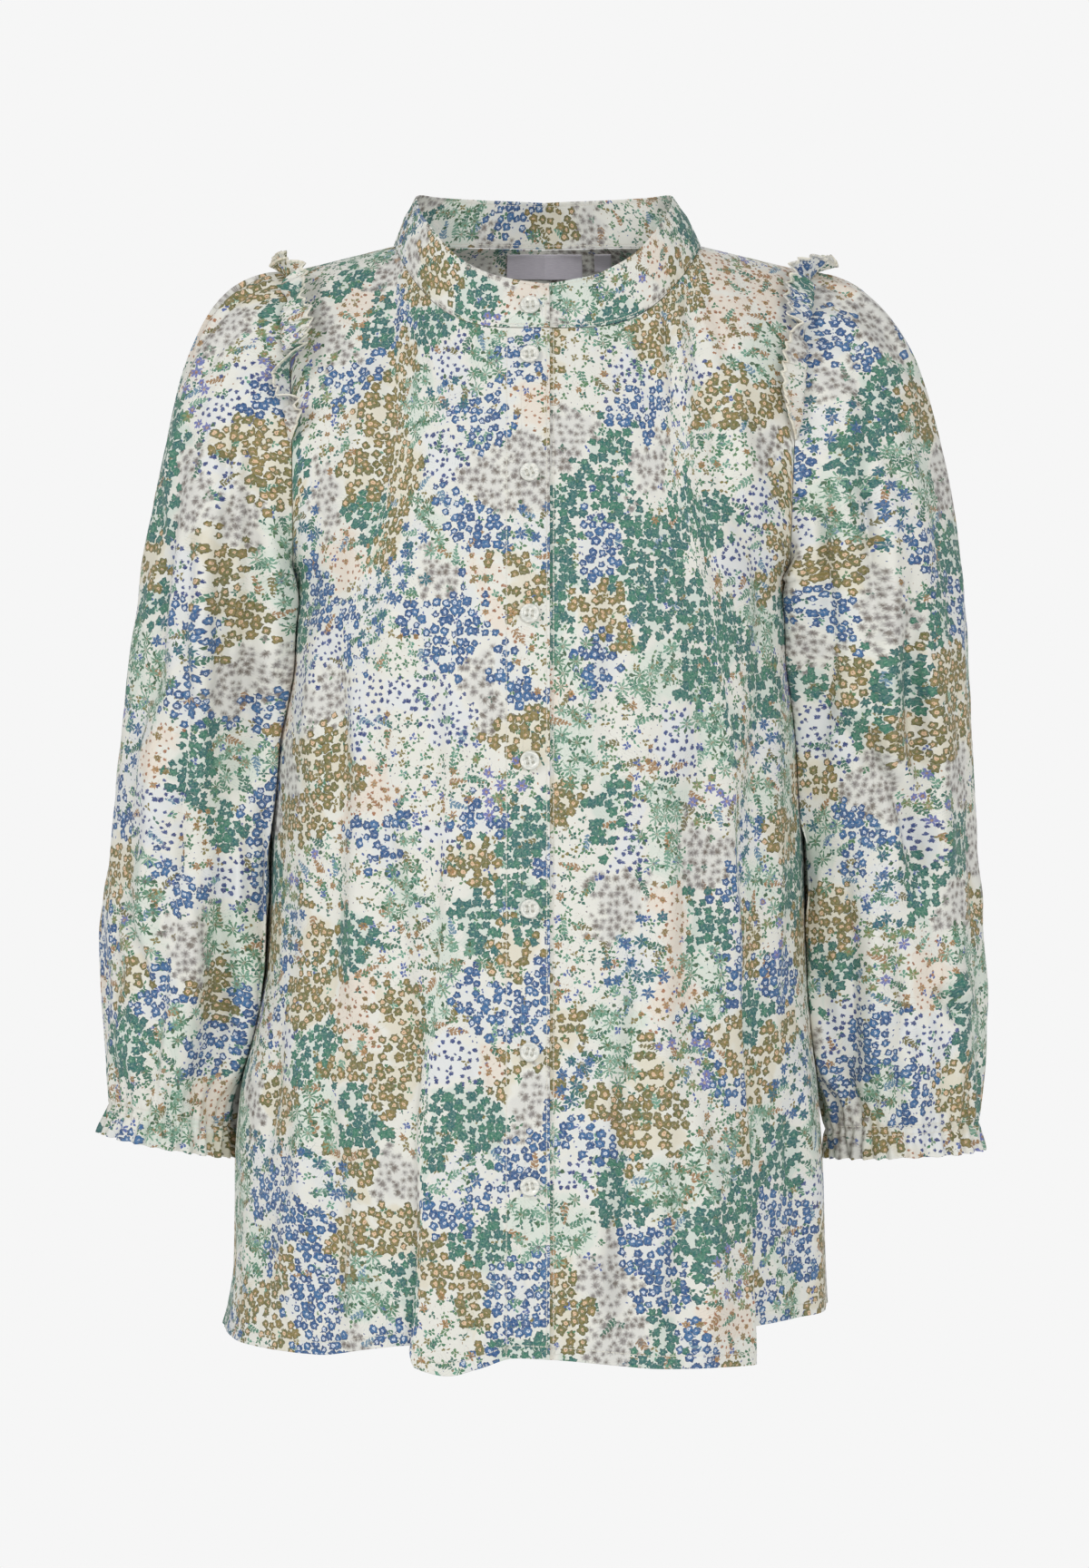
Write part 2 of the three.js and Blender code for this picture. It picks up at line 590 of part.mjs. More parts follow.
function ruffleGrid(rows, side) {
  const grid = [];
  for (let j = 0; j <= RUFFLE_ACROSS; j++) {
    const row = [];
    for (let i = 0; i <= RUFFLE_STEPS; i++) {
      const angle = lerp(rows[0].angle, rows[rows.length - 1].angle, i / RUFFLE_STEPS);
      const p = armholeRing(side, angle);
      const q = armholeRing(side, angle + 1),
        o = armholeRing(side, angle - 1);
      // away from the armhole, square to its edge
      const run = new THREE.Vector3().subVectors(q, o).setX(0).normalize();
      const up = new THREE.Vector3(0, run.z, -run.y);
      if (up.dot(new THREE.Vector3(0, p.y - RIDGE_Y, p.z - ARM_MIDDLE_Z)) < 0) up.negate();
      const share = j / RUFFLE_ACROSS;
      const lean = along(rows, "angle", "lean", angle) * (0.55 + 0.45 * share) * Math.min(1, j);
      const dir = up
        .clone()
        .multiplyScalar(Math.cos(lean * DEG))
        .add(new THREE.Vector3(side * Math.sin(lean * DEG), 0, 0));
      p.x += side * 0.5;
      p.addScaledVector(up, RUFFLE_BASE);
      row.push(p.addScaledVector(dir, along(rows, "angle", "width", angle) * share));
    }
    grid.push(row);
  }
  return side > 0 ? grid : flip(grid);
}
add("ruffle_right", wall(ruffleGrid(RUFFLE_RIGHT_ROWS, -1), WALL), PRINT);
add("ruffle_left", wall(ruffleGrid(RUFFLE_LEFT_ROWS, 1), WALL), PRINT);

// ---------------------------------------------------------------- collar
const COLLAR_STEPS = 48;
const COLLAR_HEIGHTS = [0, 0.34, 0.68, 1];

// The neck seam by angle; it runs past centre front at each end of the band.
function neckSeam(angle) {
  const x = NECK_HALF * Math.sin(angle * DEG);
  return bodyPoint(x < 0 ? -1 : 1, Math.cos(angle * DEG) < 0, Math.abs(x) / SHOULDER_HALF, 1);
}

function collarPoint(angle, h) {
  const a = Math.abs(angle) > 180 ? 360 - Math.abs(angle) : Math.abs(angle);
  const seam = neckSeam(angle);
  const top = new THREE.Vector3(
    COLLAR_TOP_HALF * Math.sin(angle * DEG),
    along(COLLAR_TOP_ROWS, "angle", "y", a),
    along(COLLAR_TOP_ROWS, "angle", "z", a),
  );
  const upward = new THREE.Vector3().subVectors(top, seam).normalize();
  const p = seam.clone().addScaledVector(upward, COLLAR_LIFT).lerp(top, h);
  // a little outward roundness, and the lap at the front
  const outward = new THREE.Vector3(p.x, p.y - RIDGE_Y, 0).normalize();
  p.addScaledVector(outward, 1.5 * Math.sin(Math.PI * h));
  return p.addScaledVector(outward, LAP * (smooth(-125, -160, angle) - smooth(125, 160, angle)));
}

// From the end on top, round the wearer's right and the back, to the end beneath.
function collarGrid() {
  return COLLAR_HEIGHTS.map((h) =>
    Array.from({ length: COLLAR_STEPS + 1 }, (_, i) =>
      collarPoint(lerp(COLLAR_OVER_ANGLE, COLLAR_UNDER_ANGLE, i / COLLAR_STEPS), h),
    ),
  );
}
add("collar", wall(flip(collarGrid()), WALL), PRINT);

// ---------------------------------------------------------------- buttons
// A round button with four holes, facing along +Z of its own group.
function buttonGeometry() {
  const round = (r, cx, cy, count, turn) =>
    Array.from({ length: count }, (_, i) => {
      const a = (turn * 2 * Math.PI * i) / count;
      return new THREE.Vector2(cx + r * Math.cos(a), cy + r * Math.sin(a));
    });
  const face = new THREE.Shape(round(BUTTON_R, 0, 0, 20, 1));
  for (const sx of [1, -1])
    for (const sy of [1, -1])
      face.holes.push(
        new THREE.Path(
          round(BUTTON_HOLE_R, (sx * BUTTON_HOLE_PITCH) / 2, (sy * BUTTON_HOLE_PITCH) / 2, 6, -1),
        ),
      );
  return new THREE.ExtrudeGeometry(face, { depth: BUTTON_THICK, bevelEnabled: false });
}

function placeButton(name, point, outward) {
  const m = add(name, buttonGeometry(), SHELL_BUTTON);
  m.position.copy(point).addScaledVector(outward, WALL / 2 + 0.65);
  m.quaternion.setFromUnitVectors(new THREE.Vector3(0, 0, 1), outward);
}

// The over front's middle surface on the button line, at a height.
function frontAt(z, aside = 0) {
  const hem = along(HEM_ROWS, "angle", "z", -4);
  const x = BUTTON_X + aside;
  const p = bodyAt(x, true, (z - hem) / (neckFrontZ(x) - hem));
  p.y -= LAP;
  return p;
}
for (const row of BUTTON_ROWS) {
  const rise = new THREE.Vector3().subVectors(frontAt(row.z + 6), frontAt(row.z - 6));
  const run = new THREE.Vector3().subVectors(frontAt(row.z, 5), frontAt(row.z, -5));
  placeButton(row.name, frontAt(row.z), run.cross(rise).normalize());
}
{
  // the top button, on the collar band
  const angle = -180 - Math.asin(BUTTON_X / NECK_HALF) / DEG;
  const low = collarPoint(angle, 0.2),
    high = collarPoint(angle, 0.8);
  const rise = new THREE.Vector3().subVectors(high, low);
  const outward = new THREE.Vector3(0, -rise.z, rise.y).normalize();
  placeButton("button_1", collarPoint(angle, 0.46).setX(BUTTON_X), outward);
}

// ---------------------------------------------------------------- labels
// A label hangs inside the back neck, a little off the back panel's inner surface.
function labelGrid(label) {
  const columns = 6,
    rows = [1, 0.5, 0];
  const inner = (x, z) => {
    const hem = along(HEM_ROWS, "angle", "z", 180);
    return bodyAt(x, false, (z - hem) / (neckBackZ(x) - hem));
  };
  return rows.map((d) =>
    Array.from({ length: columns + 1 }, (_, i) => {
      const x = label.x + lerp(-label.half, label.half, i / columns);
      const z = neckBackZ(x) - label.top - label.height * d;
      const p = inner(x, z);
      const across = new THREE.Vector3().subVectors(inner(x + 2, z), inner(x - 2, z));
      const down = new THREE.Vector3().subVectors(inner(x, z - 6), p);
      const off = across.cross(down).normalize();
      if (off.y > 0) off.negate();
      return p.addScaledVector(off, (WALL + label.wall) / 2 + label.off);
    }),
  );
}
add("neck_label", wall(labelGrid(LABEL), LABEL.wall), LABEL_SATIN);
add("size_tab", wall(labelGrid(SIZE_TAB), SIZE_TAB.wall), LABEL_SATIN);

export default blouse;
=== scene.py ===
"""The looks of a printed blouse, built around its CAD frame.

Lengths below are in millimetres, and become metres where a mesh is made. +X is the
wearer's left, -Y the front and +Z up. Each piece of cloth is a thin shell on the form
of its solid, with its creases placed from the tables.
"""
import math

import bpy
import numpy as np
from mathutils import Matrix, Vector


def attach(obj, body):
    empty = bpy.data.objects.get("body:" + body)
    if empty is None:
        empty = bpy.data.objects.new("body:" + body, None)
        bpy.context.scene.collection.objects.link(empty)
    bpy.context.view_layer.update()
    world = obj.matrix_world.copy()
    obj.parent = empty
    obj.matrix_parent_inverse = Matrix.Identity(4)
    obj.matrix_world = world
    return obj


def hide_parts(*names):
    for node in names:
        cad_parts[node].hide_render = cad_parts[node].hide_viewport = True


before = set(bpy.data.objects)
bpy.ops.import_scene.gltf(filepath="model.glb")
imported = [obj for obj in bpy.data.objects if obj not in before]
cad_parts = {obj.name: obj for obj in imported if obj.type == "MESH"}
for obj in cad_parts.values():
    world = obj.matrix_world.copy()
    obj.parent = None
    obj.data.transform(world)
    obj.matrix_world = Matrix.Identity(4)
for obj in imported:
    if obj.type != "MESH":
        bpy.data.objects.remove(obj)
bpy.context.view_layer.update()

BODY = "root"
MM = 0.001
DEG = math.pi / 180

# ---------------------------------------------------------------- sizes, as in the CAD
CLOTH = 0.7  # thickness of the cloth
NECK_HALF = 86.0
NECK_SIDE_Z = 2.0
NECK_FRONT_DROP = 51.0
NECK_BACK_RISE = 2.0
SHOULDER_HALF = 146.0
SHOULDER_SLOPE = 0.25
RIDGE_Y = 5.0
UNDERARM_Z = -197.0
SHOULDER_TIP_Z = NECK_SIDE_Z - (SHOULDER_HALF - NECK_HALF) * SHOULDER_SLOPE
PLACKET_EDGE_X = 3.0
UNDERLAP_X = -19.0
BUTTON_X = -8.0
PLACKET_WIDTH = 24.0
LAP = 1.1
BUTTON_R = 5.4
BUTTON_THICK = 2.2
HOLE_R = 0.8
HOLE_PITCH = 2.9
STEP_SOFT = 2.2
SIDE_STOP = 0.9997
HEM_TURN = 8.0  # depth of the turned hem

# z, then how far the side is from the middle on the wearer's right and left
BODY_ROWS = [
    (40, 146, 152), (-10, 146, 151.5), (-30, 145.5, 149), (-60, 144, 145),
    (-100, 142.5, 141.5), (-150, 142, 139.5), (-197, 143, 139), (-235, 146, 141.5),
    (-290, 154, 146.5), (-410, 159, 150.5), (-440, 165, 153), (-485, 174.5, 157),
    (-520, 177, 159.5), (-580, 178, 161.5), (-605, 181.5, 162.5), (-622, 186.5, 163),
]
# drop below the shoulder ridge, then how far the front and back stand off
DEPTH_ROWS = [
    (0, 0, 0), (3, 9, 14), (10, 20, 30), (24, 35, 54), (45, 52, 66), (71, 67, 75),
    (128, 92, 86), (178, 107, 91), (220, 117, 93), (261, 121.5, 94), (310, 121, 95),
    (420, 122, 99), (520, 127, 105), (700, 134, 113),
]
# z, share of the depth at the armhole edge
ARMHOLE_ROWS = [
    (-197, 0), (-195, 0.12), (-190, 0.25), (-180, 0.38), (-165, 0.49), (-140, 0.6),
    (-100, 0.71), (-60, 0.81), (-30, 0.9), (-13, 0.96),
]
# angle round the body (0 centre front, 90 the wearer's left), hem height
HEM_ROWS = [
    (-180, -619), (-150, -622), (-120, -617), (-90, -615.5), (-76, -616.5), (-62, -620.5),
    (-44, -623.5), (-32, -618.5), (-24.3, -615.5), (-21.6, -618), (-20.5, -626.5),
    (-16, -631), (-11, -627), (-5, -621), (4, -622.5), (10, -624), (23, -627.5),
    (35, -628), (43.4, -628.5), (45.6, -611), (56, -607.5), (90, -604), (120, -610),
    (150, -620), (180, -619),
]
# kind, angle at the hem, angle at the top, height of the top, depth, width, turn
BODY_FOLDS = [
    ("step", -23, -24, -330, 8.5, 17, 1),
    ("step", 44.6, 46, -250, 9.5, 16, -1),
    ("ridge", -64, -66, -300, 6, 12, 1),
    ("ridge", -5, -6, -480, -4, 9, 1),
    ("ridge", 27, 24, -350, 5, 12, 1),
    ("ridge", 72, 68, -250, 4.5, 8, 1),
    ("ridge", 122, 124, -300, 7, 9, 1),
    ("step", 141, 142, -340, 7, 15, -1),
    ("ridge", 168, 166, -220, 8, 11, 1),
    ("ridge", -167, -165, -240, 7, 12, 1),
    ("step", -141, -140, -300, 8, 16, 1),
    ("ridge", -119, -121, -280, 7, 9, 1),
]
# z, outer edge, inner edge, half depth, y of the middle, tilt
SLEEVE_ROWS = {
    -1: [
        (-235, -235, -148.8, 56, 6, 0.0), (-273, -240.5, -153.8, 56, 14, 0.02),
        (-315, -246, -157.5, 56, 20, 0.04), (-356, -250.5, -158.8, 56, 25, 0.06),
        (-398, -254, -160.6, 55, 27, 0.09), (-440, -253.5, -167.6, 52, 27, 0.13),
        (-475, -252.5, -175, 45, 25, 0.17), (-494, -251, -178.5, 39, 22, 0.18),
        (-500, -251.5, -178.8, 39, 22, 0.18), (-514, -256, -178.4, 43, 22, 0.18),
    ],
    1: [
        (-235, 241.5, 144.4, 56, 6, 0.0), (-273, 245, 147.2, 56, 14, -0.01),
        (-315, 247.5, 149.2, 56, 20, -0.02), (-356, 249.5, 150.2, 56, 25, -0.02),
        (-398, 252.5, 151.3, 55, 27, -0.03), (-440, 254.5, 154.3, 53, 27, -0.04),
        (-478, 252.5, 159, 47, 25, -0.05), (-500, 251, 162, 41, 22, -0.05),
        (-506, 251, 162.2, 41, 22, -0.05), (-519, 253.5, 162.5, 44, 22, -0.05),
    ],
}
# how far the cap's lines reach: out x, out z, down x, down z
CAP = {-1: (62, -3, 17, 134), 1: (56, -4, 11, 143)}
# angle, top z, full z, depth, width
SLEEVE_FOLDS = {
    -1: [
        (88, -60, -300, 3.5, 13), (116, -60, -320, -4.5, 12), (150, -110, -280, 3.5, 14),
        (45, -40, -260, -3, 14), (-60, -60, -300, -4, 15), (-100, -60, -280, 4, 15),
        (-140, -60, -300, -3.5, 14),
    ],
    1: [
        (70, -40, -280, -3.5, 13), (100, -80, -350, 4, 14), (128, -60, -290, -4.5, 12),
        (155, -100, -260, 3.5, 13), (28, -40, -300, -2.5, 14), (-55, -60, -300, -4, 15),
        (-98, -60, -320, 4, 15), (-138, -60, -300, -3.5, 14),
    ],
}
ELASTIC_Z = {-1: -497.0, 1: -503.0}
# angle round the neck (0 centre back), y and z of the collar's top edge
COLLAR_TOP_ROWS = [
    (0, 53, 31), (50, 38, 32.3), (72, 21, 32.6), (84, 11, 31.2), (92, 3, 28), (100, -5, 23.6), (110, -15, 17),
    (120, -25, 9.5), (132, -35, -2), (145, -43, -11.5), (160, -49.5, -19), (180, -53, -23.5),
]
COLLAR_TOP_HALF = 73.0
COLLAR_LIFT = 0.3
# angle round the armhole, tilt (0 lies on the body, 90 stands up), width
RUFFLE_ROWS = {
    -1: [
        (-84, 95, 5), (-72, 60, 11), (-52, 112, 15), (-30, 60, 16), (-12, 105, 15),
        (3, 82, 13), (14, 122, 13), (22, 74, 16), (31, 16, 24), (38, 46, 19), (43, 30, 21),
        (50, 10, 27), (59, 12, 26), (66, 60, 20), (73, 104, 16), (79, 92, 15), (84, 20, 20),
        (89, 14, 14), (94, 24, 4),
    ],
    1: [
        (-85, 95, 5), (-68, 65, 12), (-46, 115, 15), (-24, 70, 16), (-8, 125, 16),
        (9, 138, 17), (20, 100, 18), (31, 26, 23), (44, 12, 25), (51, 30, 21), (56, 70, 18),
        (61, 20, 22), (72, 10, 23), (82, 12, 20), (89, 18, 12), (94, 30, 4),
    ],
}
# half width, top below the seam, height, distance off the back, x
LABEL = (22.5, 1.2, 14.5, 1.7, 0.0)
SIZE_TAB = (4.9, 1.2, 10.0, 1.7, 34.5)
BUTTON_Z = {
    "button_2": -65, "button_3": -131.5, "button_4": -210, "button_5": -291,
    "button_6": -373, "button_7": -452, "button_8": -526,
}

# ---------------------------------------------------------------- the camera
CAMERA_AT = (0.0, -3300.0, -252.0)
CAMERA_TO = (0.0, 0.0, -306.0)
FRAME_HEIGHT = 898.6  # what the picture's height spans at the aim point
PHOTO = (1200, 1728)


def make_camera():
    data = bpy.data.cameras.new("camera")
    cam = bpy.data.objects.new("camera", data)
    bpy.context.scene.collection.objects.link(cam)
    at, to = Vector(CAMERA_AT), Vector(CAMERA_TO)
    cam.location = at * MM
    cam.rotation_euler = (to - at).to_track_quat("-Z", "Y").to_euler()
    data.sensor_fit = "AUTO"
    data.sensor_width = 36.0
    data.lens = 18.0 / (FRAME_HEIGHT / 2 / (to - at).length)
    data.clip_start = 0.05
    data.clip_end = 60.0
    bpy.context.scene.camera = cam


make_camera()


def photo_point(px, py, y):
    """The point at depth y that the photograph shows at a pixel: its x and z."""
    at, to = np.array(CAMERA_AT), np.array(CAMERA_TO)
    f = to - at
    dist = np.linalg.norm(f)
    f /= dist
    up = np.array([0.0, -f[2], f[1]])
    k = FRAME_HEIGHT / PHOTO[1]
    ray = f * dist + np.array([1.0, 0, 0]) * (px - PHOTO[0] / 2) * k - up * (py - PHOTO[1] / 2) * k
    t = (y - at[1]) / ray[1]
    p = at + ray * t
    return p[0], p[2]


# ---------------------------------------------------------------- helpers
def lerp(a, b, t):
    return a + (b - a) * t


def smooth(a, b, v):
    t = np.clip((np.asarray(v, float) - a) / (b - a), 0, 1)
    return t * t * (3 - 2 * t)


def along(rows, at, column=1):
    """A smooth curve through the rows of a table, which never overshoots them."""
    rows = sorted(rows, key=lambda r: r[0])
    k = np.array([r[0] for r in rows], float)
    y = np.array([r[column] for r in rows], float)
    h = np.diff(k)
    m = np.diff(y) / h
    d = np.zeros(len(k))
    d[0], d[-1] = m[0], m[-1]
    a, b = m[:-1], m[1:]
    total = np.where(np.abs(a + b) < 1e-12, 1.0, a + b)
    d[1:-1] = np.where(a * b > 0, 2 * a * b / total, 0)
    at = np.clip(np.asarray(at, float), k[0], k[-1])
    i = np.clip(np.searchsorted(k, at, side="left") - 1, 0, len(k) - 2)
    t = (at - k[i]) / h[i]
    return (
        y[i] * (2 * t**3 - 3 * t**2 + 1)
        + d[i] * h[i] * (t**3 - 2 * t**2 + t)
        + y[i + 1] * (-2 * t**3 + 3 * t**2)
        + d[i + 1] * h[i] * (t**3 - t**2)
    )


def unit(v):
    n = np.linalg.norm(v, axis=-1, keepdims=True)
    return v / np.where(n < 1e-9, 1, n)


# ---------------------------------------------------------------- the body's form
def ridge_z(x):
    x = np.abs(x)
    return np.where(
        x >= NECK_HALF,
        NECK_SIDE_Z - (x - NECK_HALF) * SHOULDER_SLOPE,
        NECK_SIDE_Z + (NECK_HALF - x) * 0.3,
    )


def neck_front_z(x):
    return NECK_SIDE_Z - NECK_FRONT_DROP * (1 - np.minimum(1, np.abs(x) / NECK_HALF) ** 3.8)


def neck_back_z(x):
    return NECK_SIDE_Z + NECK_BACK_RISE * (1 - np.minimum(1, np.abs(x) / NECK_HALF) ** 2)


def body_half(side, z):
    return np.where(side < 0, along(BODY_ROWS, z, 1), along(BODY_ROWS, z, 2))


def squash(z):
    return smooth(-260, -100, z)


def share_across(u, z):
    return lerp(np.sin(u * math.pi / 2), u, squash(z))


def stand_off(t, z):
    edge = np.where(z <= UNDERARM_Z, 0, along(ARMHOLE_ROWS, z))
    n = 2 + 0.4 * smooth(-330, -210, z)
    cut = (1 - edge**n) ** (1 / n)
    local = 6 * (1 - smooth(UNDERARM_Z, -125, z))
    c = 1 - (1 - cut) * np.maximum(t, 1e-9) ** local
    return np.maximum(0, 1 - (c * t) ** n) ** (1 / n)


def fold_out(angle, z, hem):
    """The large folds: how far out, and how far along the cloth, to the wearer's left."""
    out, aside = np.zeros(z.shape), np.zeros(z.shape)
    for kind, at_hem, at_top, top, depth, width, turn in BODY_FOLDS:
        down = np.clip((top - z) / (top - hem), 0, 1)
        off = angle - lerp(at_top, at_hem, down)
        off = off - 360 * np.round(off / 360)
        deep = depth * down**1.15
        if kind == "ridge":
            out += deep * np.exp(-((off / width) ** 2))
        else:
            out += deep * turn * np.tanh(off / STEP_SOFT) * np.exp(-np.abs(off) / width)
            # the near side hangs over the far one
            aside -= turn * 0.62 * deep * np.exp(-(((off * turn - 2.3) / 2.7) ** 2))
            aside += turn * 0.5 * deep * np.exp(-(((off * turn + 2.6) / 2.6) ** 2))
    return out, aside


def body_point(side, front, u, v, edge_off=0.5):
    side, u, v = np.broadcast_arrays(*(np.asarray(a, float) for a in (side, u, v)))
    top_x = SHOULDER_HALF * u
    neck = neck_front_z(top_x) if front else neck_back_z(top_x)
    top_z = np.where(top_x >= NECK_HALF, ridge_z(top_x), neck)
    angle = side * u * 90 if front else side * (180 - u * 90)
    hem = along(HEM_ROWS, angle)
    z = lerp(hem, top_z, v)
    half = body_half(side, z)
    t = share_across(u, z)
    x = side * half * t
    drop = np.maximum(0, ridge_z(SHOULDER_HALF * t) - z)
    depth = along(DEPTH_ROWS, drop, 1 if front else 2)
    sign = -1.0 if front else 1.0
    off = depth * stand_off(t, z) + edge_off * (1 - smooth(0, 6, drop))
    p = np.stack([x, RIDGE_Y + sign * off, z], -1)
    out = unit(np.stack([x, sign * off, 0 * x], -1))
    push, aside = fold_out(angle, z, hem)
    low = np.where(z < -180, 1.0, 0.0)[..., None]
    tangent = np.stack([-out[..., 1], out[..., 0], 0 * x], -1)
    return p + low * (out * push[..., None] + tangent * aside[..., None])


def body_at(x, front, v, edge_off=0.5):
    x, v = np.broadcast_arrays(np.asarray(x, float), np.asarray(v, float))
    side = np.where(x < 0, -1.0, 1.0)
    u = np.zeros(x.shape)
    for _ in range(4):
        z = body_point(side, front, u, v, edge_off)[..., 2]
        u = np.abs(x) / body_half(side, z) / lerp(math.pi / 2, 1, squash(z))
    p = body_point(side, front, u, v, edge_off)
    p[..., 0] = x
    return p


def armhole_point(side, front, z):
    drop = np.maximum(0, ridge_z(SHOULDER_HALF) - z)
    depth = np.where(front, along(DEPTH_ROWS, drop, 1), along(DEPTH_ROWS, drop, 2))
    share = along(ARMHOLE_ROWS, z)
    y = RIDGE_Y + np.where(front, -1, 1) * depth * share
    return np.stack([side * body_half(side, z), y, z], -1)


ARM_MIDDLE_Z = (SHOULDER_TIP_Z + UNDERARM_Z) / 2
ARM_HALF_Z = (SHOULDER_TIP_Z - UNDERARM_Z) / 2


def armhole_ring(side, angle):
    angle = np.asarray(angle, float)
    z = ARM_MIDDLE_Z + ARM_HALF_Z * 0.9995 * np.cos(angle * DEG)
    return armhole_point(side, np.sin(angle * DEG) >= 0, z)


# ---------------------------------------------------------------- creases
def crease(x, z, rows, y=-112.0):
    """Soft troughs, ridges and tucks along bowed lines. A row is: kind, the pixels of
    its top and bottom end in the photograph, bow, width and depth."""
    out = np.zeros(x.shape)
    for i, (kind, x0, y0, x1, y1, bow, width, depth) in enumerate(rows):
        ax, az = photo_point(x0, y0, y)
        bx, bz = photo_point(x1, y1, y)
        out += one_crease(x, z, i, kind, ax, az, bx, bz, bow, width, depth)
    return out


def crease_mm(x, z, rows):
    """The same, for lines given in millimetres."""
    out = np.zeros(x.shape)
    for i, (kind, ax, az, bx, bz, bow, width, depth) in enumerate(rows):
        out += one_crease(x, z, i + 7, kind, ax, az, bx, bz, bow, width, depth)
    return out


def one_crease(x, z, i, kind, ax, az, bx, bz, bow, width, depth):
    dx, dz = bx - ax, bz - az
    length = math.hypot(dx, dz)
    s = ((x - ax) * dx + (z - az) * dz) / length**2
    away = ((x - ax) * -dz + (z - az) * dx) / length
    inside = np.clip(s, 0, 1)
    wander = 0.9 * np.sin(s * 7.3 + i * 1.7) + 0.6 * np.sin(s * 13.1 + i * 2.9)
    away = away - bow * 4 * inside * (1 - inside) - wander * min(1.0, width / 7)
    wide = width * (0.82 + 0.5 * inside + 0.14 * np.sin(s * 9.1 + i))
    strength = smooth(-0.16, 0.2, s) * (1 - smooth(0.72, 1.16, s))
    strength = strength * (1 + 0.22 * np.sin(s * 8.7 + i * 2.3))
    if kind == "step":
        shape = np.tanh(away / (0.33 * wide)) * np.exp(-np.abs(away) / (1.4 * wide))
    else:
        d = away / wide
        shape = (1 - 0.34 * d**2) * np.exp(-(d**2))
        if kind == "trough":
            shape = -shape
    return depth * strength * shape


def ripples(s, z, seed, size, wide=(17, 46), tall=(110, 320), count=12):
    """Small uneven drape, longer down the cloth than across it."""
    rng = np.random.default_rng(seed)
    out = np.zeros(s.shape)
    for _ in range(count):
        w, t = rng.uniform(*wide), rng.uniform(*tall)
        p, q, b = rng.uniform(0, 6.28, 3)
        out += np.sin(6.283 * s / w + 1.6 * np.sin(6.283 * z / t + p) + q) * np.sin(6.283 * z / (t * 1.7) + b)
    return size * out / math.sqrt(count)


def gathers(position, count, span, seed, sharp=1.0):
    """A wave with unevenly spaced crests along a gathered edge, from -1 to 1."""
    rng = np.random.default_rng(seed)
    steps = rng.uniform(0.55, 1.5, count)
    knots = np.concatenate([[0], np.cumsum(steps)])
    knots = knots / knots[-1] * span
    phase = np.interp(np.mod(position, span), knots, np.arange(count + 1))
    high = rng.uniform(0.55, 1.25, count)
    size = high[np.mod(np.floor(phase).astype(int), count)]
    near = high[np.mod(np.floor(phase).astype(int) + 1, count)]
    size = lerp(size, near, smooth(0, 1, phase - np.floor(phase)))
    wave = np.cos(2 * math.pi * phase)
    return size * np.sign(wave) * np.abs(wave) ** sharp


# ---------------------------------------------------------------- shells
def grid_normals(g, wrap=False):
    dx, dz = np.empty_like(g), np.empty_like(g)
    if wrap:
        dx = np.roll(g, -1, 1) - np.roll(g, 1, 1)
    else:
        dx[:, 1:-1] = g[:, 2:] - g[:, :-2]
        dx[:, 0], dx[:, -1] = g[:, 1] - g[:, 0], g[:, -1] - g[:, -2]
    dz[1:-1] = g[2:] - g[:-2]
    dz[0], dz[-1] = g[1] - g[0], g[-1] - g[-2]
    return unit(np.cross(dx, dz))


ROUND_AT = (0.0, 0.1, 0.28, 0.55)  # distances from an edge where it is rounded
ROUND_BY = (0.0, 0.62, 0.9, 1.0)


def widen(values, gap_of, first=True, last=True):
    """Adds steps close to the ends of a list, so that the edge can be rounded."""
    v = list(values)
    if first:
        step = (v[1] - v[0]) / gap_of(0)
        v = [v[0] + d * step for d in ROUND_AT] + v[1:]
    if last:
        n = len(v) - 1
        step = (v[n - 1] - v[n]) / gap_of(1)
        v = v[:n] + [v[n] + d * step for d in reversed(ROUND_AT)]
    return v


def round_share(n, first=True, last=True):
    f = np.ones(n)
    if first:
        f[:4] = ROUND_BY
    if last:
        f[-4:] = ROUND_BY[::-1]
    return f


def run_length(g, axis):
    d = np.linalg.norm(np.diff(g, axis=axis), axis=-1)
    start = np.zeros_like(np.take(d, [0], axis=axis))
    return np.concatenate([start, np.cumsum(d, axis=axis)], axis=axis)


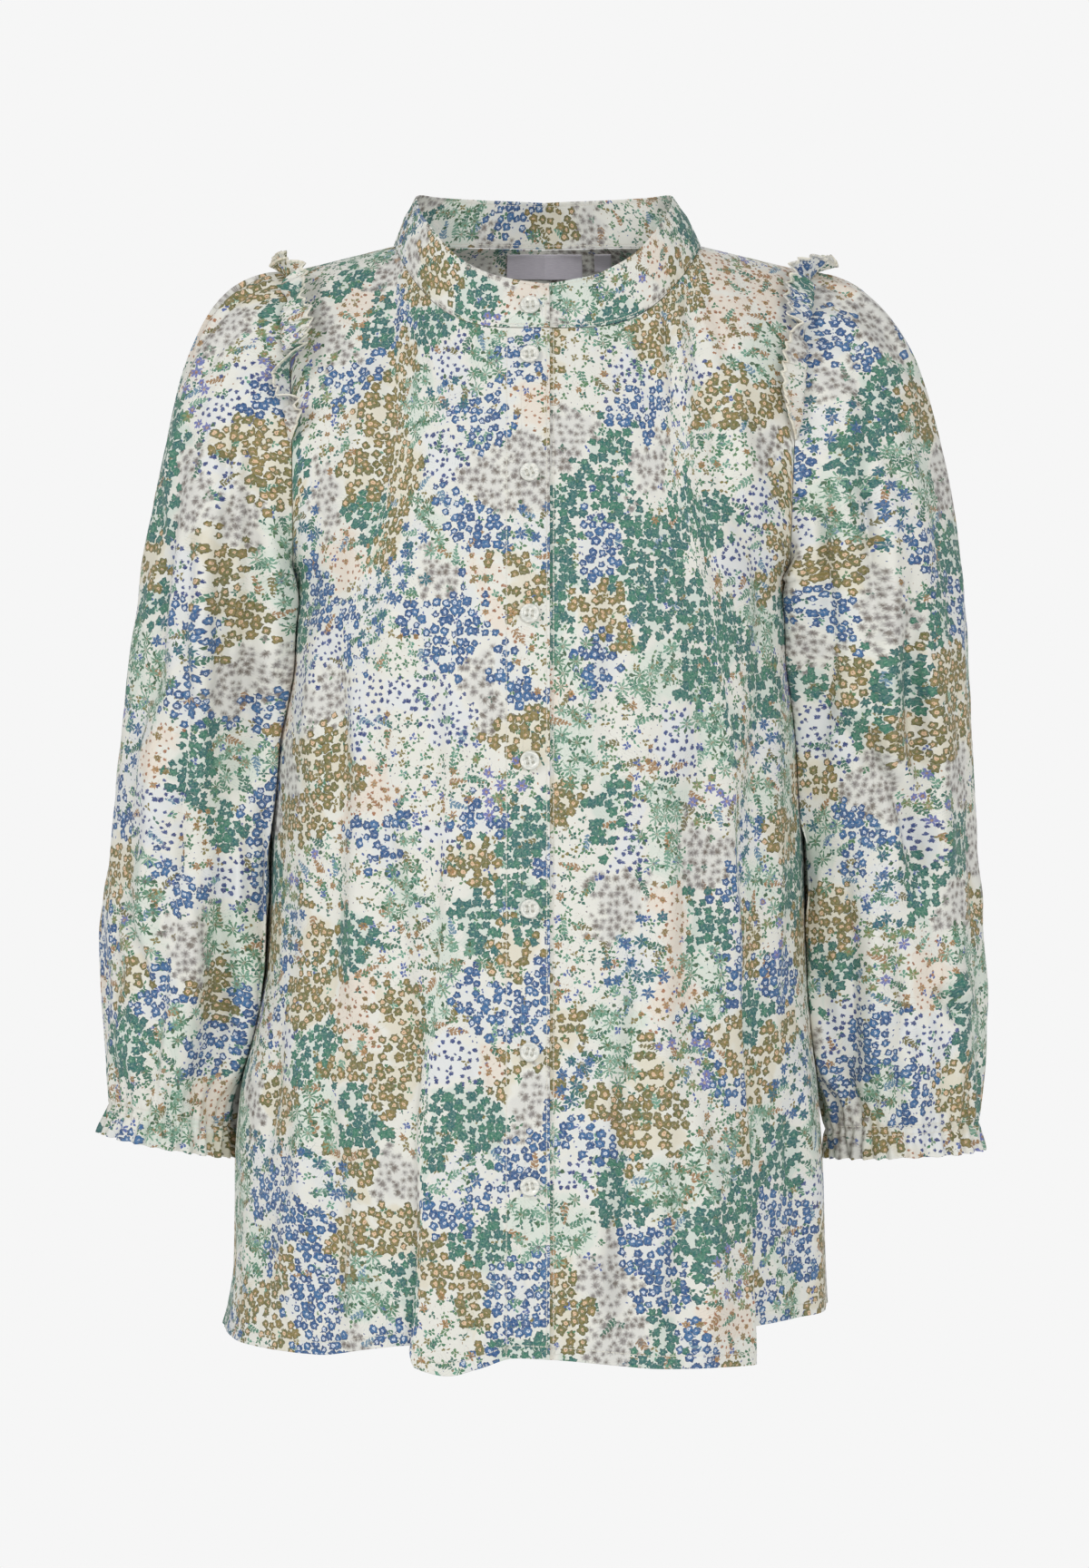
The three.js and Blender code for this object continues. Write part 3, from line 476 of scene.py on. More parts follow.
def lay_flat(g, uv, full):
    """Ease a first layout of the flat cloth until its lengths and angles match the
    surface. full is how much wider than the surface the cloth is cut, row by row."""
    rows, cols = g.shape[:2]
    across, down = run_length(g, 1), run_length(g, 0)
    full = np.broadcast_to(full, (rows, 1))
    flat = uv.astype(float).copy()
    for level_rows, level_cols, rounds in ((9, 13, 260), (18, 26, 200), (36, 52, 160), (60, 90, 80)):
        r = np.unique(np.round(np.linspace(0, rows - 1, level_rows)).astype(int))
        c = np.unique(np.round(np.linspace(0, cols - 1, level_cols)).astype(int))
        pick = np.ix_(r, c)
        p, q, f = g[pick], flat[pick].copy(), full[r]
        first = q.copy()
        h = np.diff(across[pick], axis=1) * f
        v = np.diff(down[pick], axis=0)
        turn_h = unit(np.diff(p, axis=1))
        turn_v = unit(np.diff(p, axis=0))
        slant = np.sum(turn_h[:-1] * turn_v[:, :-1], -1)
        hh, vv = (h[:-1] + h[1:]) / 2, (v[:, :-1] + v[:, 1:]) / 2
        one = np.sqrt(np.maximum(1e-6, hh**2 + vv**2 + 2 * hh * vv * slant))
        two = np.sqrt(np.maximum(1e-6, hh**2 + vv**2 - 2 * hh * vv * slant))
        pairs = [
            (np.s_[:, :-1], np.s_[:, 1:], h), (np.s_[:-1], np.s_[1:], v),
            (np.s_[:-1, :-1], np.s_[1:, 1:], one), (np.s_[:-1, 1:], np.s_[1:, :-1], two),
        ]
        for _ in range(rounds):
            move, times = np.zeros(q.shape), np.zeros(q.shape[:2])
            for a, b, length in pairs:
                d = q[b] - q[a]
                now = np.maximum(1e-6, np.linalg.norm(d, axis=-1))
                pull = d * (0.5 * (1 - length / now))[..., None]
                move[a] += pull
                move[b] -= pull
                times[a] += 1
                times[b] += 1
            q += 1.5 * move / times[..., None]
        change = q - first
        ri, ci = np.arange(rows), np.arange(cols)
        for k in range(2):
            part = np.stack([np.interp(ci, c, line) for line in change[..., k]])
            flat[..., k] += np.stack([np.interp(ri, r, part[:, j]) for j in range(cols)], 1)
    return flat - flat.mean((0, 1)) + uv.mean((0, 1))


def new_object(name, mesh):
    ob = bpy.data.objects.new(name, mesh)
    bpy.context.scene.collection.objects.link(ob)
    return ob


def shell(name, g, uv, material, thick=CLOTH, wrap=False, extra=None, stitch=None, ends=(True, True, True, True), pale=None):
    """A thin closed shell round a grid of points, with rounded edges. extra thickens
    the inside, uv is the flat cloth in millimetres, and stitch gives the distance to the
    nearest row of stitches and the length along it. ends says which of the first and
    last rows and columns are open edges that are rounded."""
    rows, cols = g.shape[:2]
    n = grid_normals(g, wrap)
    share = np.outer(round_share(rows, ends[0], ends[1]), np.ones(cols))
    if not wrap:
        share = share * round_share(cols, ends[2], ends[3])[None, :]
    half = (thick / 2 * share)[..., None]
    more = 0 if extra is None else (extra * share)[..., None]
    outer = (g + n * half).reshape(-1, 3)
    inner = (g - n * (half + more)).reshape(-1, 3)
    # the edge's own points are shared by both faces
    index = np.arange(rows * cols).reshape(rows, cols)
    edge = np.zeros((rows, cols), bool)
    if ends[0]:
        edge[0] = True
    if ends[1]:
        edge[-1] = True
    if not wrap:
        if ends[2]:
            edge[:, 0] = True
        if ends[3]:
            edge[:, -1] = True
    kept = ~edge.reshape(-1)
    inner_index = np.where(kept, rows * cols + np.cumsum(kept) - 1, np.arange(rows * cols)).reshape(rows, cols)
    points = np.concatenate([outer, inner[kept]])
    spans = cols if wrap else cols - 1
    i = np.arange(spans)
    a = index[:-1][:, i]
    b = index[:-1][:, (i + 1) % cols]
    c = index[1:][:, (i + 1) % cols]
    d = index[1:][:, i]
    top = np.stack([a, b, c, d], -1).reshape(-1, 4)
    a, b = inner_index[:-1][:, i], inner_index[:-1][:, (i + 1) % cols]
    c, d = inner_index[1:][:, (i + 1) % cols], inner_index[1:][:, i]
    under = np.stack([a, d, c, b], -1).reshape(-1, 4)
    quads = np.concatenate([top, under])
    # the flat cloth, with one more column where the sleeve seam is
    full = uv if uv.shape[1] == spans + 1 else np.concatenate([uv, uv[:, :1]], 1)
    ta, tb = full[:-1][:, i], full[:-1][:, i + 1]
    tc, td = full[1:][:, i + 1], full[1:][:, i]
    flat_top = np.stack([ta, tb, tc, td], -2).reshape(-1, 4, 2)
    flat_under = np.stack([ta, td, tc, tb], -2).reshape(-1, 4, 2)
    flat = np.concatenate([flat_top, flat_under]) / 100.0
    mesh = bpy.data.meshes.new(name)
    mesh.vertices.add(len(points))
    mesh.vertices.foreach_set("co", (points * MM).astype(np.float32).ravel())
    mesh.loops.add(quads.size)
    mesh.loops.foreach_set("vertex_index", quads.astype(np.int32).ravel())
    mesh.polygons.add(len(quads))
    mesh.polygons.foreach_set("loop_start", (np.arange(len(quads)) * 4).astype(np.int32))
    mesh.update(calc_edges=True)
    mesh.polygons.foreach_set("use_smooth", np.ones(len(quads), bool))
    layer = mesh.uv_layers.new(name="cloth")
    layer.data.foreach_set("uv", flat.astype(np.float32).ravel())
    if stitch is not None:
        for key, values in zip(("stitch_off", "stitch_run"), stitch):
            values = np.broadcast_to(values, (rows, cols)).reshape(-1)
            data = mesh.attributes.new(key, "FLOAT", "POINT")
            data.data.foreach_set("value", np.concatenate([values, values[kept]]).astype(np.float32))
    if pale is not None:
        values = np.broadcast_to(pale, (rows, cols)).reshape(-1)
        data = mesh.attributes.new("pale", "FLOAT", "POINT")
        data.data.foreach_set("value", np.concatenate([values, values[kept]]).astype(np.float32))
    mesh.materials.append(material)
    mesh.validate()
    return new_object(name, mesh)


def nearest_stitch(lines):
    """Of several rows of stitches, the distance to the nearest and its length."""
    off, run = lines[0]
    off, run = off.copy(), run.copy()
    for o, r in lines[1:]:
        closer = np.abs(o) < np.abs(off)
        off, run = np.where(closer, o, off), np.where(closer, r, run)
    return off, run


def cloth_piece(ob, nodes):
    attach(ob, BODY)
    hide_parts(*nodes)


# ---------------------------------------------------------------- node graph helpers
def colour(r, g, b):
    def linear(c):
        c /= 255
        return c / 12.92 if c <= 0.04045 else ((c + 0.055) / 1.055) ** 2.4

    return (linear(r), linear(g), linear(b), 1.0)


class Value:
    """One output of a node, with arithmetic that makes further nodes."""

    def __init__(self, net, socket):
        self.net, self.socket = net, socket

    def __add__(self, o): return self.net.math("ADD", self, o)
    def __radd__(self, o): return self.net.math("ADD", o, self)
    def __sub__(self, o): return self.net.math("SUBTRACT", self, o)
    def __rsub__(self, o): return self.net.math("SUBTRACT", o, self)
    def __mul__(self, o): return self.net.math("MULTIPLY", self, o)
    def __rmul__(self, o): return self.net.math("MULTIPLY", o, self)
    def __truediv__(self, o): return self.net.math("DIVIDE", self, o)


class Net:
    def __init__(self, name):
        self.material = bpy.data.materials.new(name)
        self.material.use_nodes = True
        self.tree = self.material.node_tree
        self.tree.nodes.clear()
        self.count = 0

    def node(self, kind, **props):
        n = self.tree.nodes.new(kind)
        n.location = (200 * (self.count % 30), -220 * (self.count // 30))
        self.count += 1
        for k, v in props.items():
            setattr(n, k, v)
        return n

    def put(self, socket, value):
        if isinstance(value, Value):
            self.tree.links.new(value.socket, socket)
        else:
            socket.default_value = value

    def math(self, op, a, b=None, c=None, clamp=False):
        n = self.node("ShaderNodeMath", operation=op, use_clamp=clamp)
        for socket, value in zip(n.inputs, (a, b, c)):
            if value is not None:
                self.put(socket, value)
        return Value(self, n.outputs[0])

    def vector(self, op, a, b=None, scale=None, out=0):
        n = self.node("ShaderNodeVectorMath", operation=op)
        self.put(n.inputs[0], a)
        if b is not None:
            self.put(n.inputs[1], b)
        if scale is not None:
            self.put(n.inputs["Scale"], scale)
        return Value(self, n.outputs[out])

    def split(self, v):
        n = self.node("ShaderNodeSeparateXYZ")
        self.put(n.inputs[0], v)
        return [Value(self, o) for o in n.outputs]

    def join(self, x, y, z=0.0):
        n = self.node("ShaderNodeCombineXYZ")
        for socket, value in zip(n.inputs, (x, y, z)):
            self.put(socket, value)
        return Value(self, n.outputs[0])

    def ease(self, x, a, b, low=0.0, high=1.0):
        """Goes softly from low to high as x goes from a to b."""
        n = self.node("ShaderNodeMapRange", interpolation_type="SMOOTHSTEP", clamp=True)
        if a > b:
            a, b, low, high = b, a, high, low
        self.put(n.inputs["Value"], x)
        n.inputs["From Min"].default_value = a
        n.inputs["From Max"].default_value = b
        n.inputs["To Min"].default_value = low
        n.inputs["To Max"].default_value = high
        return Value(self, n.outputs[0])

    def mix(self, fac, a, b):
        n = self.node("ShaderNodeMix", data_type="RGBA")
        self.put(n.inputs[0], fac)
        self.put(n.inputs[6], a)
        self.put(n.inputs[7], b)
        return Value(self, n.outputs[2])

    def noise(self, v, scale, detail=0.0, rough=0.5, colour=False):
        n = self.node("ShaderNodeTexNoise", noise_dimensions="2D")
        self.put(n.inputs["Vector"], v)
        n.inputs["Scale"].default_value = scale
        n.inputs["Detail"].default_value = detail
        n.inputs["Roughness"].default_value = rough
        return Value(self, n.outputs["Color" if colour else "Fac"])

    def cells(self, v, pitch, jitter=0.8, feature="F1"):
        n = self.node("ShaderNodeTexVoronoi", voronoi_dimensions="2D", feature=feature)
        self.put(n.inputs["Vector"], v)
        n.inputs["Scale"].default_value = 1.0 / pitch
        n.inputs["Randomness"].default_value = jitter
        return n

    def lookup(self, fac, stops):
        """The value or colour of the last stop at or below fac."""
        n = self.node("ShaderNodeValToRGB")
        ramp = n.color_ramp
        ramp.interpolation = "CONSTANT"
        while len(ramp.elements) > 1:
            ramp.elements.remove(ramp.elements[-1])
        for k, (at, value) in enumerate(stops):
            e = ramp.elements[0] if k == 0 else ramp.elements.new(at)
            e.position = at
            e.color = value if hasattr(value, "__len__") else (value, value, value, 1.0)
        self.put(n.inputs[0], fac)
        return Value(self, n.outputs[0])

    def turn(self, local, share):
        """Radius and angle in turns of a local vector, turned by a share of a turn."""
        x, y, _ = self.split(local)
        r = self.vector("LENGTH", local, out=1)
        return r, self.math("ARCTAN2", y, x) / 6.28318 + share

    def petal(self, r, turns, count, start, reach, width, soft=0.14):
        """Petals round a centre: 1 inside them. Each is a pointed oval."""
        part = self.math("FRACT", turns * count) - 0.5
        angle = part * 6.28318 / count
        along_it = r * self.math("COSINE", angle)
        across = self.math("ABSOLUTE", r * self.math("SINE", angle))
        share = self.math("DIVIDE", along_it - start, reach - start, clamp=True)
        edge = self.math("SINE", share * 3.14159) * width - across
        return self.ease(edge, -soft, soft)


# ---------------------------------------------------------------- the printed cloth
# Each patch of the print has one kind of motif. The kinds share the range 0 to 1.
KINDS = [
    ("rings_blue", 0.15), ("rings_ochre", 0.16), ("blooms_teal", 0.14), ("puffs_taupe", 0.145),
    ("daisies_mint", 0.105), ("trefoils", 0.09), ("dots_navy", 0.065), ("dots_rust", 0.055),
    ("stars_blue", 0.045), ("sprigs", 0.045),
]
STARTS = {}
_at = 0.0
for _name, _size in KINDS:
    STARTS[_name] = _at
    _at += _size
CREAM = colour(228, 227, 218)


def by_kind(net, fac, default, **values):
    return net.lookup(fac, [(STARTS[k], values.get(k, default)) for k, _ in KINDS])


def make_print():
    net = Net("printed_cloth")
    uv = net.node("ShaderNodeUVMap", uv_map="cloth")
    flat = net.vector("SCALE", Value(net, uv.outputs[0]), scale=100.0)  # millimetres

    # the motifs are drawn by hand, so their outlines waver
    waver = net.vector("SUBTRACT", net.noise(flat, 1 / 1.9, 1.0, colour=True), (0.5, 0.5, 0.5))
    drawn = net.vector("ADD", flat, net.vector("SCALE", waver, scale=1.8))

    def patch(where):
        """The kind of the patch at a point, and a second random number."""
        push = net.noise(where, 1 / 21.0, 2.0, 0.6, colour=True)
        push = net.vector("SCALE", net.vector("SUBTRACT", push, (0.5, 0.5, 0.5)), scale=34.0)
        where = net.vector("ADD", where, push)
        where = net.vector("MULTIPLY", where, (1.0, 0.84, 1.0))
        cell = net.cells(where, 28.0, 0.95)
        r, g, _ = net.split(Value(net, cell.outputs["Color"]))
        return r, g, where

    def motif(pitch, jitter, shift, wander=3.0):
        """Motifs of one size: local place, random numbers and the patch's kind."""
        moved = net.vector("ADD", drawn, shift)
        cell = net.cells(moved, pitch, jitter)
        centre = Value(net, cell.outputs["Position"])
        local = net.vector("SUBTRACT", moved, centre)
        local = net.vector("MULTIPLY", local, (1.0, 1.0, 0.0))
        chance = Value(net, cell.outputs["Color"])
        a, b, c = net.split(chance)
        centre = net.vector("SUBTRACT", centre, shift)
        stray = net.vector("SCALE", net.vector("SUBTRACT", chance, (0.5, 0.5, 0.5)), scale=2 * wander)
        kind, other, _ = patch(net.vector("ADD", centre, stray))
        return local, (a, b, c), kind, other

    # the ground, tinted a little inside some patches
    kind, _, warped = patch(flat)
    edge_cell = net.cells(warped, 28.0, 0.95, feature="DISTANCE_TO_EDGE")
    inside = net.ease(Value(net, edge_cell.outputs["Distance"]), 0.0, 0.2)
    tint = by_kind(
        net, kind, CREAM,
        rings_blue=colour(222, 224, 221), dots_navy=colour(224, 226, 225), dots_rust=colour(229, 219, 205),
        daisies_mint=colour(216, 223, 212), puffs_taupe=colour(218, 217, 211),
        blooms_teal=colour(208, 217, 207), stars_blue=colour(224, 225, 222), rings_ochre=colour(222, 216, 197),
    )
    ground = net.mix(inside, CREAM, tint)

    # thin sprigs: a bowed stem with paired leaves
    local, (a, b, c), kind, other = motif(11.5, 0.75, (131.0, 57.0, 0.0), 5.0)
    r, turns = net.turn(local, a)
    ang = turns * 6.28318
    x = r * net.math("COSINE", ang)
    y = r * net.math("SINE", ang)
    x = x + net.math("SINE", y * 0.34) * 1.0
    side = net.math("ABSOLUTE", x)
    lean = y - side
    pitch = 2.2
    near = net.math("ROUND", lean / pitch)
    across = net.math("ABSOLUTE", (lean - near * pitch) * 0.7071)
    run = (side + (lean - near * pitch) + side) * 0.7071
    taper = net.ease(y, 6.4, -3.0, 1.0, 3.6)
    share = net.math("DIVIDE", run, taper, clamp=True)
    leaf = net.ease(net.math("SINE", share * 3.14159) * 0.74 - across, -0.12, 0.14)
    stem = net.ease(side, 0.42, 0.2)
    span = net.ease(net.math("ABSOLUTE", y), 6.4, 5.8)
    sprig = net.math("MAXIMUM", leaf, stem) * span
    some = by_kind(net, kind, 0.3, sprigs=0.95, daisies_mint=0.7, stars_blue=0.6, rings_blue=0.2,
                   rings_ochre=0.2, blooms_teal=0.25, puffs_taupe=0.04, dots_navy=0.3, dots_rust=0.3, trefoils=0.35)
    shown = net.math("LESS_THAN", b, some)
    sprig_tint = net.lookup(c, [
        (0.0, colour(76, 130, 106)), (0.24, colour(156, 120, 80)), (0.42, colour(50, 106, 86)),
        (0.6, colour(96, 134, 158)), (0.74, colour(112, 106, 62)), (0.87, colour(108, 154, 132)),
    ])
    paint = net.mix(sprig * shown, ground, sprig_tint)

    # single leaves and small sprouts between the flowers
    local, (a, b, c), kind, other = motif(5.6, 0.9, (17.0, 211.0, 0.0), 4.0)
    r, turns = net.turn(local, a)
    count = net.lookup(b, [(0.0, 0.3), (0.45, 0.4), (0.8, 0.2)]) * 10.0
    leaves = net.petal(r, turns, count, 0.15, 2.6, 0.74)
    some = by_kind(net, kind, 0.2, trefoils=0.93, daisies_mint=0.5, sprigs=0.6, stars_blue=0.5, rings_blue=0.22,
                   rings_ochre=0.3, blooms_teal=0.5, dots_rust=0.14, dots_navy=0.14, puffs_taupe=0.04)
    shown = net.math("LESS_THAN", c, some)
    leaf_tint = net.lookup(a, [
        (0.0, colour(58, 118, 82)), (0.26, colour(44, 104, 88)), (0.48, colour(84, 128, 84)),
        (0.64, colour(128, 118, 62)), (0.78, colour(96, 152, 128)), (0.9, colour(70, 96, 160)),
    ])
    paint = net.mix(leaves * shown, paint, leaf_tint)

    # dots and soft puffs
    local, (a, b, c), kind, other = motif(4.5, 0.8, (73.0, 139.0, 0.0), 2.5)
    r, turns = net.turn(local, a)
    size = by_kind(net, kind, 0.0, puffs_taupe=0.212, dots_navy=0.118, dots_rust=0.082, stars_blue=0.05,
                   sprigs=0.055, rings_blue=0.06, daisies_mint=0.03, trefoils=0.04) * 10.0
    size = size * (0.66 + 0.6 * b)
    spiky = 1.0 + 0.16 * net.math("SINE", turns * 6.28318 * 9.0)
    soft = by_kind(net, kind, 0.02, puffs_taupe=0.23) * 10.0
    edge = net.math("DIVIDE", size * spiky - r, soft + 0.001)
    dot = net.ease(edge, -0.4, 0.95)
    dot_tint = by_kind(
        net, kind, colour(72, 98, 156),
        puffs_taupe=colour(132, 126, 124), dots_navy=colour(58, 78, 134), dots_rust=colour(168, 116, 82),
        sprigs=colour(164, 124, 88), daisies_mint=colour(110, 156, 132), trefoils=colour(150, 120, 80),
    )
    deep = net.lookup(c, [(0.0, 0.0), (0.4, 0.5), (0.7, 1.0)])
    dark = by_kind(net, kind, colour(56, 80, 136), puffs_taupe=colour(112, 102, 94),
                   dots_rust=colour(146, 96, 62), dots_navy=colour(44, 62, 118))
    paint = net.mix(dot, paint, net.mix(deep, dot_tint, dark))
    glow = net.ease(r, 0.7, 0.2) * by_kind(net, kind, 0.0, puffs_taupe=0.4)
    paint = net.mix(glow, paint, colour(84, 74, 64))

    # small round flowers with a pale middle, and fuller blooms
    local, (a, b, c), kind, other = motif(5.4, 0.72, (41.0, 89.0, 0.0), 4.0)
    off_middle = net.join((b - 0.5) * 0.5, (c - 0.5) * 0.5)
    r, turns = net.turn(local, a)
    size = by_kind(net, kind, 0.0, rings_blue=0.256, rings_ochre=0.272, blooms_teal=0.276) * 10.0
    size = size * (0.72 + 0.5 * b)
    petal_count = net.lookup(c, [(0.0, 0.5), (0.45, 0.4), (0.8, 0.6)]) * 10.0
    wave = net.math("COSINE", turns * 6.28318 * petal_count)
    notch = by_kind(net, kind, 0.11, blooms_teal=0.22, rings_ochre=0.13)
    rim = size * (1.0 + wave * notch)
    body = net.ease(rim - r, -0.1, 0.16)
    line = net.ease(rim - r, 0.9, 0.35)
    first = by_kind(net, kind, colour(38, 84, 136), rings_ochre=colour(134, 119, 64), blooms_teal=colour(56, 120, 98))
    second = by_kind(net, kind, colour(50, 104, 154), rings_ochre=colour(112, 110, 60), blooms_teal=colour(44, 104, 102))
    inked = by_kind(net, kind, colour(26, 58, 106), rings_ochre=colour(86, 80, 42), blooms_teal=colour(26, 80, 78))
    petals = net.mix(net.lookup(c, [(0.0, 0.0), (0.35, 0.6), (0.65, 1.0)]), first, second)
    bleed = net.noise(flat, 1 / 2.6, 1.0)
    petals = net.mix(net.math("MULTIPLY", line, net.ease(bleed, 0.3, 0.6, 0.35, 0.95)), petals, inked)
    petals = net.mix(net.ease(bleed, 0.6, 0.85, 0.0, 0.5), petals, inked)
    middle_size = by_kind(net, kind, 0.085, rings_ochre=0.1, blooms_teal=0.034) * 10.0
    middle_size = middle_size * (0.5 + 0.8 * a)
    from_middle = net.vector("LENGTH", net.vector("SUBTRACT", local, off_middle), out=1)
    middle = net.ease(middle_size - from_middle, -0.1, 0.12)
    middle_tint = by_kind(net, kind, colour(208, 216, 228), rings_ochre=colour(222, 186, 150), blooms_teal=colour(128, 172, 140))
    petals = net.mix(middle, petals, middle_tint)
    speck = net.ease(0.3 - from_middle, -0.1, 0.1) * by_kind(net, kind, 0.8, blooms_teal=0.0)
    petals = net.mix(speck, petals, inked)
    few = net.math("LESS_THAN", b, by_kind(net, kind, 0.97, blooms_teal=1.1, rings_blue=0.93, rings_ochre=0.93))
    paint = net.mix(body * few, paint, petals)

    # stars and thin-petalled daisies
    local, (a, b, c), kind, other = motif(8.8, 0.75, (211.0, 23.0, 0.0), 5.0)
    r, turns = net.turn(local, a)
    count = by_kind(net, kind, 0.6, daisies_mint=0.8, stars_blue=0.6, sprigs=0.6) * 10.0
    size = by_kind(net, kind, 0.0, daisies_mint=0.52, stars_blue=0.4, sprigs=0.36, trefoils=0.26, dots_rust=0.22) * 10.0
    size = size * (0.66 + 0.55 * b)
    width = by_kind(net, kind, 0.06, daisies_mint=0.058, stars_blue=0.086, sprigs=0.08) * 10.0
    star = net.petal(r, turns, count, 0.2, size, width)
    star = star * net.ease(size, 0.4, 0.8) * net.math("LESS_THAN", c, by_kind(net, kind, 0.8, daisies_mint=0.85, trefoils=0.3))
    star_tint = net.mix(
        net.lookup(c, [(0.0, 0.0), (0.4, 1.0)]),
        by_kind(net, kind, colour(80, 130, 100), stars_blue=colour(44, 94, 142), sprigs=colour(106, 114, 176),
                dots_rust=colour(176, 134, 88), trefoils=colour(160, 120, 72)),
        by_kind(net, kind, colour(112, 156, 132), stars_blue=colour(34, 100, 114), sprigs=colour(116, 136, 88),
                dots_rust=colour(140, 118, 70), trefoils=colour(78, 116, 176)),
    )
    paint = net.mix(star, paint, star_tint)
    button = net.ease(0.85 - r, -0.12, 0.12) * star
    paint = net.mix(button, paint, by_kind(net, kind, colour(120, 98, 50), stars_blue=colour(34, 70, 116), sprigs=colour(160, 120, 70)))
    # dark leaves among the daisies
    blade = net.petal(r, turns + 0.07, 2.0, 2.4, 5.8, 1.0) * net.math("LESS_THAN", b, by_kind(net, kind, 0.0, daisies_mint=0.7, sprigs=0.4, stars_blue=0.3))
    paint = net.mix(blade, paint, colour(54, 92, 62))

    # a little uneven ink
    ink = net.noise(flat, 1 / 1.3, 2.0)
    wash = net.ease(ink, 0.3, 0.75, 0.0, 0.14)
    paint = net.mix(wash, paint, CREAM)

    # rolled edges show the cloth's paler side
    pale = Value(net, net.node("ShaderNodeAttribute", attribute_name="pale").outputs["Fac"])
    paint = net.mix(pale * 0.72, paint, colour(232, 226, 208))

    # stitches along hems and edges
    off = Value(net, net.node("ShaderNodeAttribute", attribute_name="stitch_off").outputs["Fac"])
    run = Value(net, net.node("ShaderNodeAttribute", attribute_name="stitch_run").outputs["Fac"])
    beat = net.math("FRACT", run / 2.6)
    dash = net.ease(net.math("ABSOLUTE", beat - 0.5), 0.44, 0.36)
    thread = net.ease(net.math("ABSOLUTE", off), 0.34, 0.2) * dash
    paint = net.mix(thread * 0.8, paint, colour(222, 219, 206))
    pinch = net.ease(net.math("ABSOLUTE", off), 0.9, 0.25)

    # weave, with slightly uneven yarns; the colour also gets a painted shade, a little darker in the weave's pattern
    fx, fy, _ = net.split(flat)
    warp = net.math("SINE", fx * 6.28318 / 0.42)
    weft = net.math("SINE", fy * 6.28318 / 0.46)
    weave = warp * weft
    slub = net.noise(net.vector("MULTIPLY", flat, (1.0, 0.12, 1.0)), 1 / 0.9, 2.0)
    crinkle = net.noise(net.vector("MULTIPLY", flat, (1.0, 0.4, 1.0)), 1 / 8.0, 3.0, 0.55)
    # painted shade: the cloth is up to a twentieth darker in the weave's pattern
    yarn = net.ease(weave, -1.0, 1.0, 0.0, 0.05)
    paint = net.mix(yarn, paint, colour(120, 118, 108))
    height = weave * 0.02 + slub * 0.05 + crinkle * 0.5 + thread * 0.16 - pinch * (1.0 - dash * 0.7) * 0.3
    bump = net.node("ShaderNodeBump")
    bump.inputs["Strength"].default_value = 0.6
    bump.inputs["Distance"].default_value = 0.001
    net.put(bump.inputs["Height"], height)

    shader = net.node("ShaderNodeBsdfPrincipled")
    net.put(shader.inputs["Base Color"], paint)
    rough = net.ease(slub, 0.2, 0.8, 0.62, 0.8)
    net.put(shader.inputs["Roughness"], rough)
    shader.inputs["Specular IOR Level"].default_value = 0.3
    shader.inputs["Sheen Weight"].default_value = 0.06
    shader.inputs["Sheen Roughness"].default_value = 0.5
    net.tree.links.new(bump.outputs[0], shader.inputs["Normal"])
    out = net.node("ShaderNodeOutputMaterial")
    net.tree.links.new(shader.outputs[0], out.inputs["Surface"])
    return net.material


def make_button_material():
    net = Net("shell_button")
    place = net.node("ShaderNodeTexCoord")
    v = net.vector("SCALE", Value(net, place.outputs["Object"]), scale=1000.0)
    cloud = net.node("ShaderNodeTexNoise")
    net.put(cloud.inputs["Vector"], net.vector("MULTIPLY", v, (0.5, 0.5, 1.4)))
    cloud.inputs["Scale"].default_value = 0.5
    cloud.inputs["Detail"].default_value = 4.0
    cloud.inputs["Distortion"].default_value = 1.6
    c = Value(net, cloud.outputs["Fac"])
    tint = net.mix(net.ease(c, 0.35, 0.62), colour(238, 236, 226), colour(206, 208, 200))
    bump = net.node("ShaderNodeBump")
    bump.inputs["Strength"].default_value = 0.25
    bump.inputs["Distance"].default_value = 0.0003
    net.put(bump.inputs["Height"], c)
    shader = net.node("ShaderNodeBsdfPrincipled")
    net.put(shader.inputs["Base Color"], tint)
    net.put(shader.inputs["Roughness"], net.ease(c, 0.3, 0.7, 0.2, 0.34))
    shader.inputs["Coat Weight"].default_value = 0.35
    shader.inputs["Coat Roughness"].default_value = 0.15
    net.tree.links.new(bump.outputs[0], shader.inputs["Normal"])
    out = net.node("ShaderNodeOutputMaterial")
    net.tree.links.new(shader.outputs[0], out.inputs["Surface"])
    return net.material


def make_thread_material():
    net = Net("sewing_thread")
    place = net.node("ShaderNodeTexCoord")
    v = net.vector("SCALE", Value(net, place.outputs["Object"]), scale=1000.0)
    x, y, z = net.split(v)
    twist = net.math("SINE", (x + z * 1.3 + y) * 14.0)
    # painted highlight and painted shade: lighter on the raised twist, darker in its grooves
    tint = net.mix(net.ease(twist, -1.0, 1.0), colour(222, 220, 208), colour(240, 238, 228))
    bump = net.node("ShaderNodeBump")
    bump.inputs["Strength"].default_value = 0.5
    bump.inputs["Distance"].default_value = 0.0002
    net.put(bump.inputs["Height"], twist)
    shader = net.node("ShaderNodeBsdfPrincipled")
    net.put(shader.inputs["Base Color"], tint)
    shader.inputs["Roughness"].default_value = 0.6
    net.tree.links.new(bump.outputs[0], shader.inputs["Normal"])
    out = net.node("ShaderNodeOutputMaterial")
    net.tree.links.new(shader.outputs[0], out.inputs["Surface"])
    return net.material


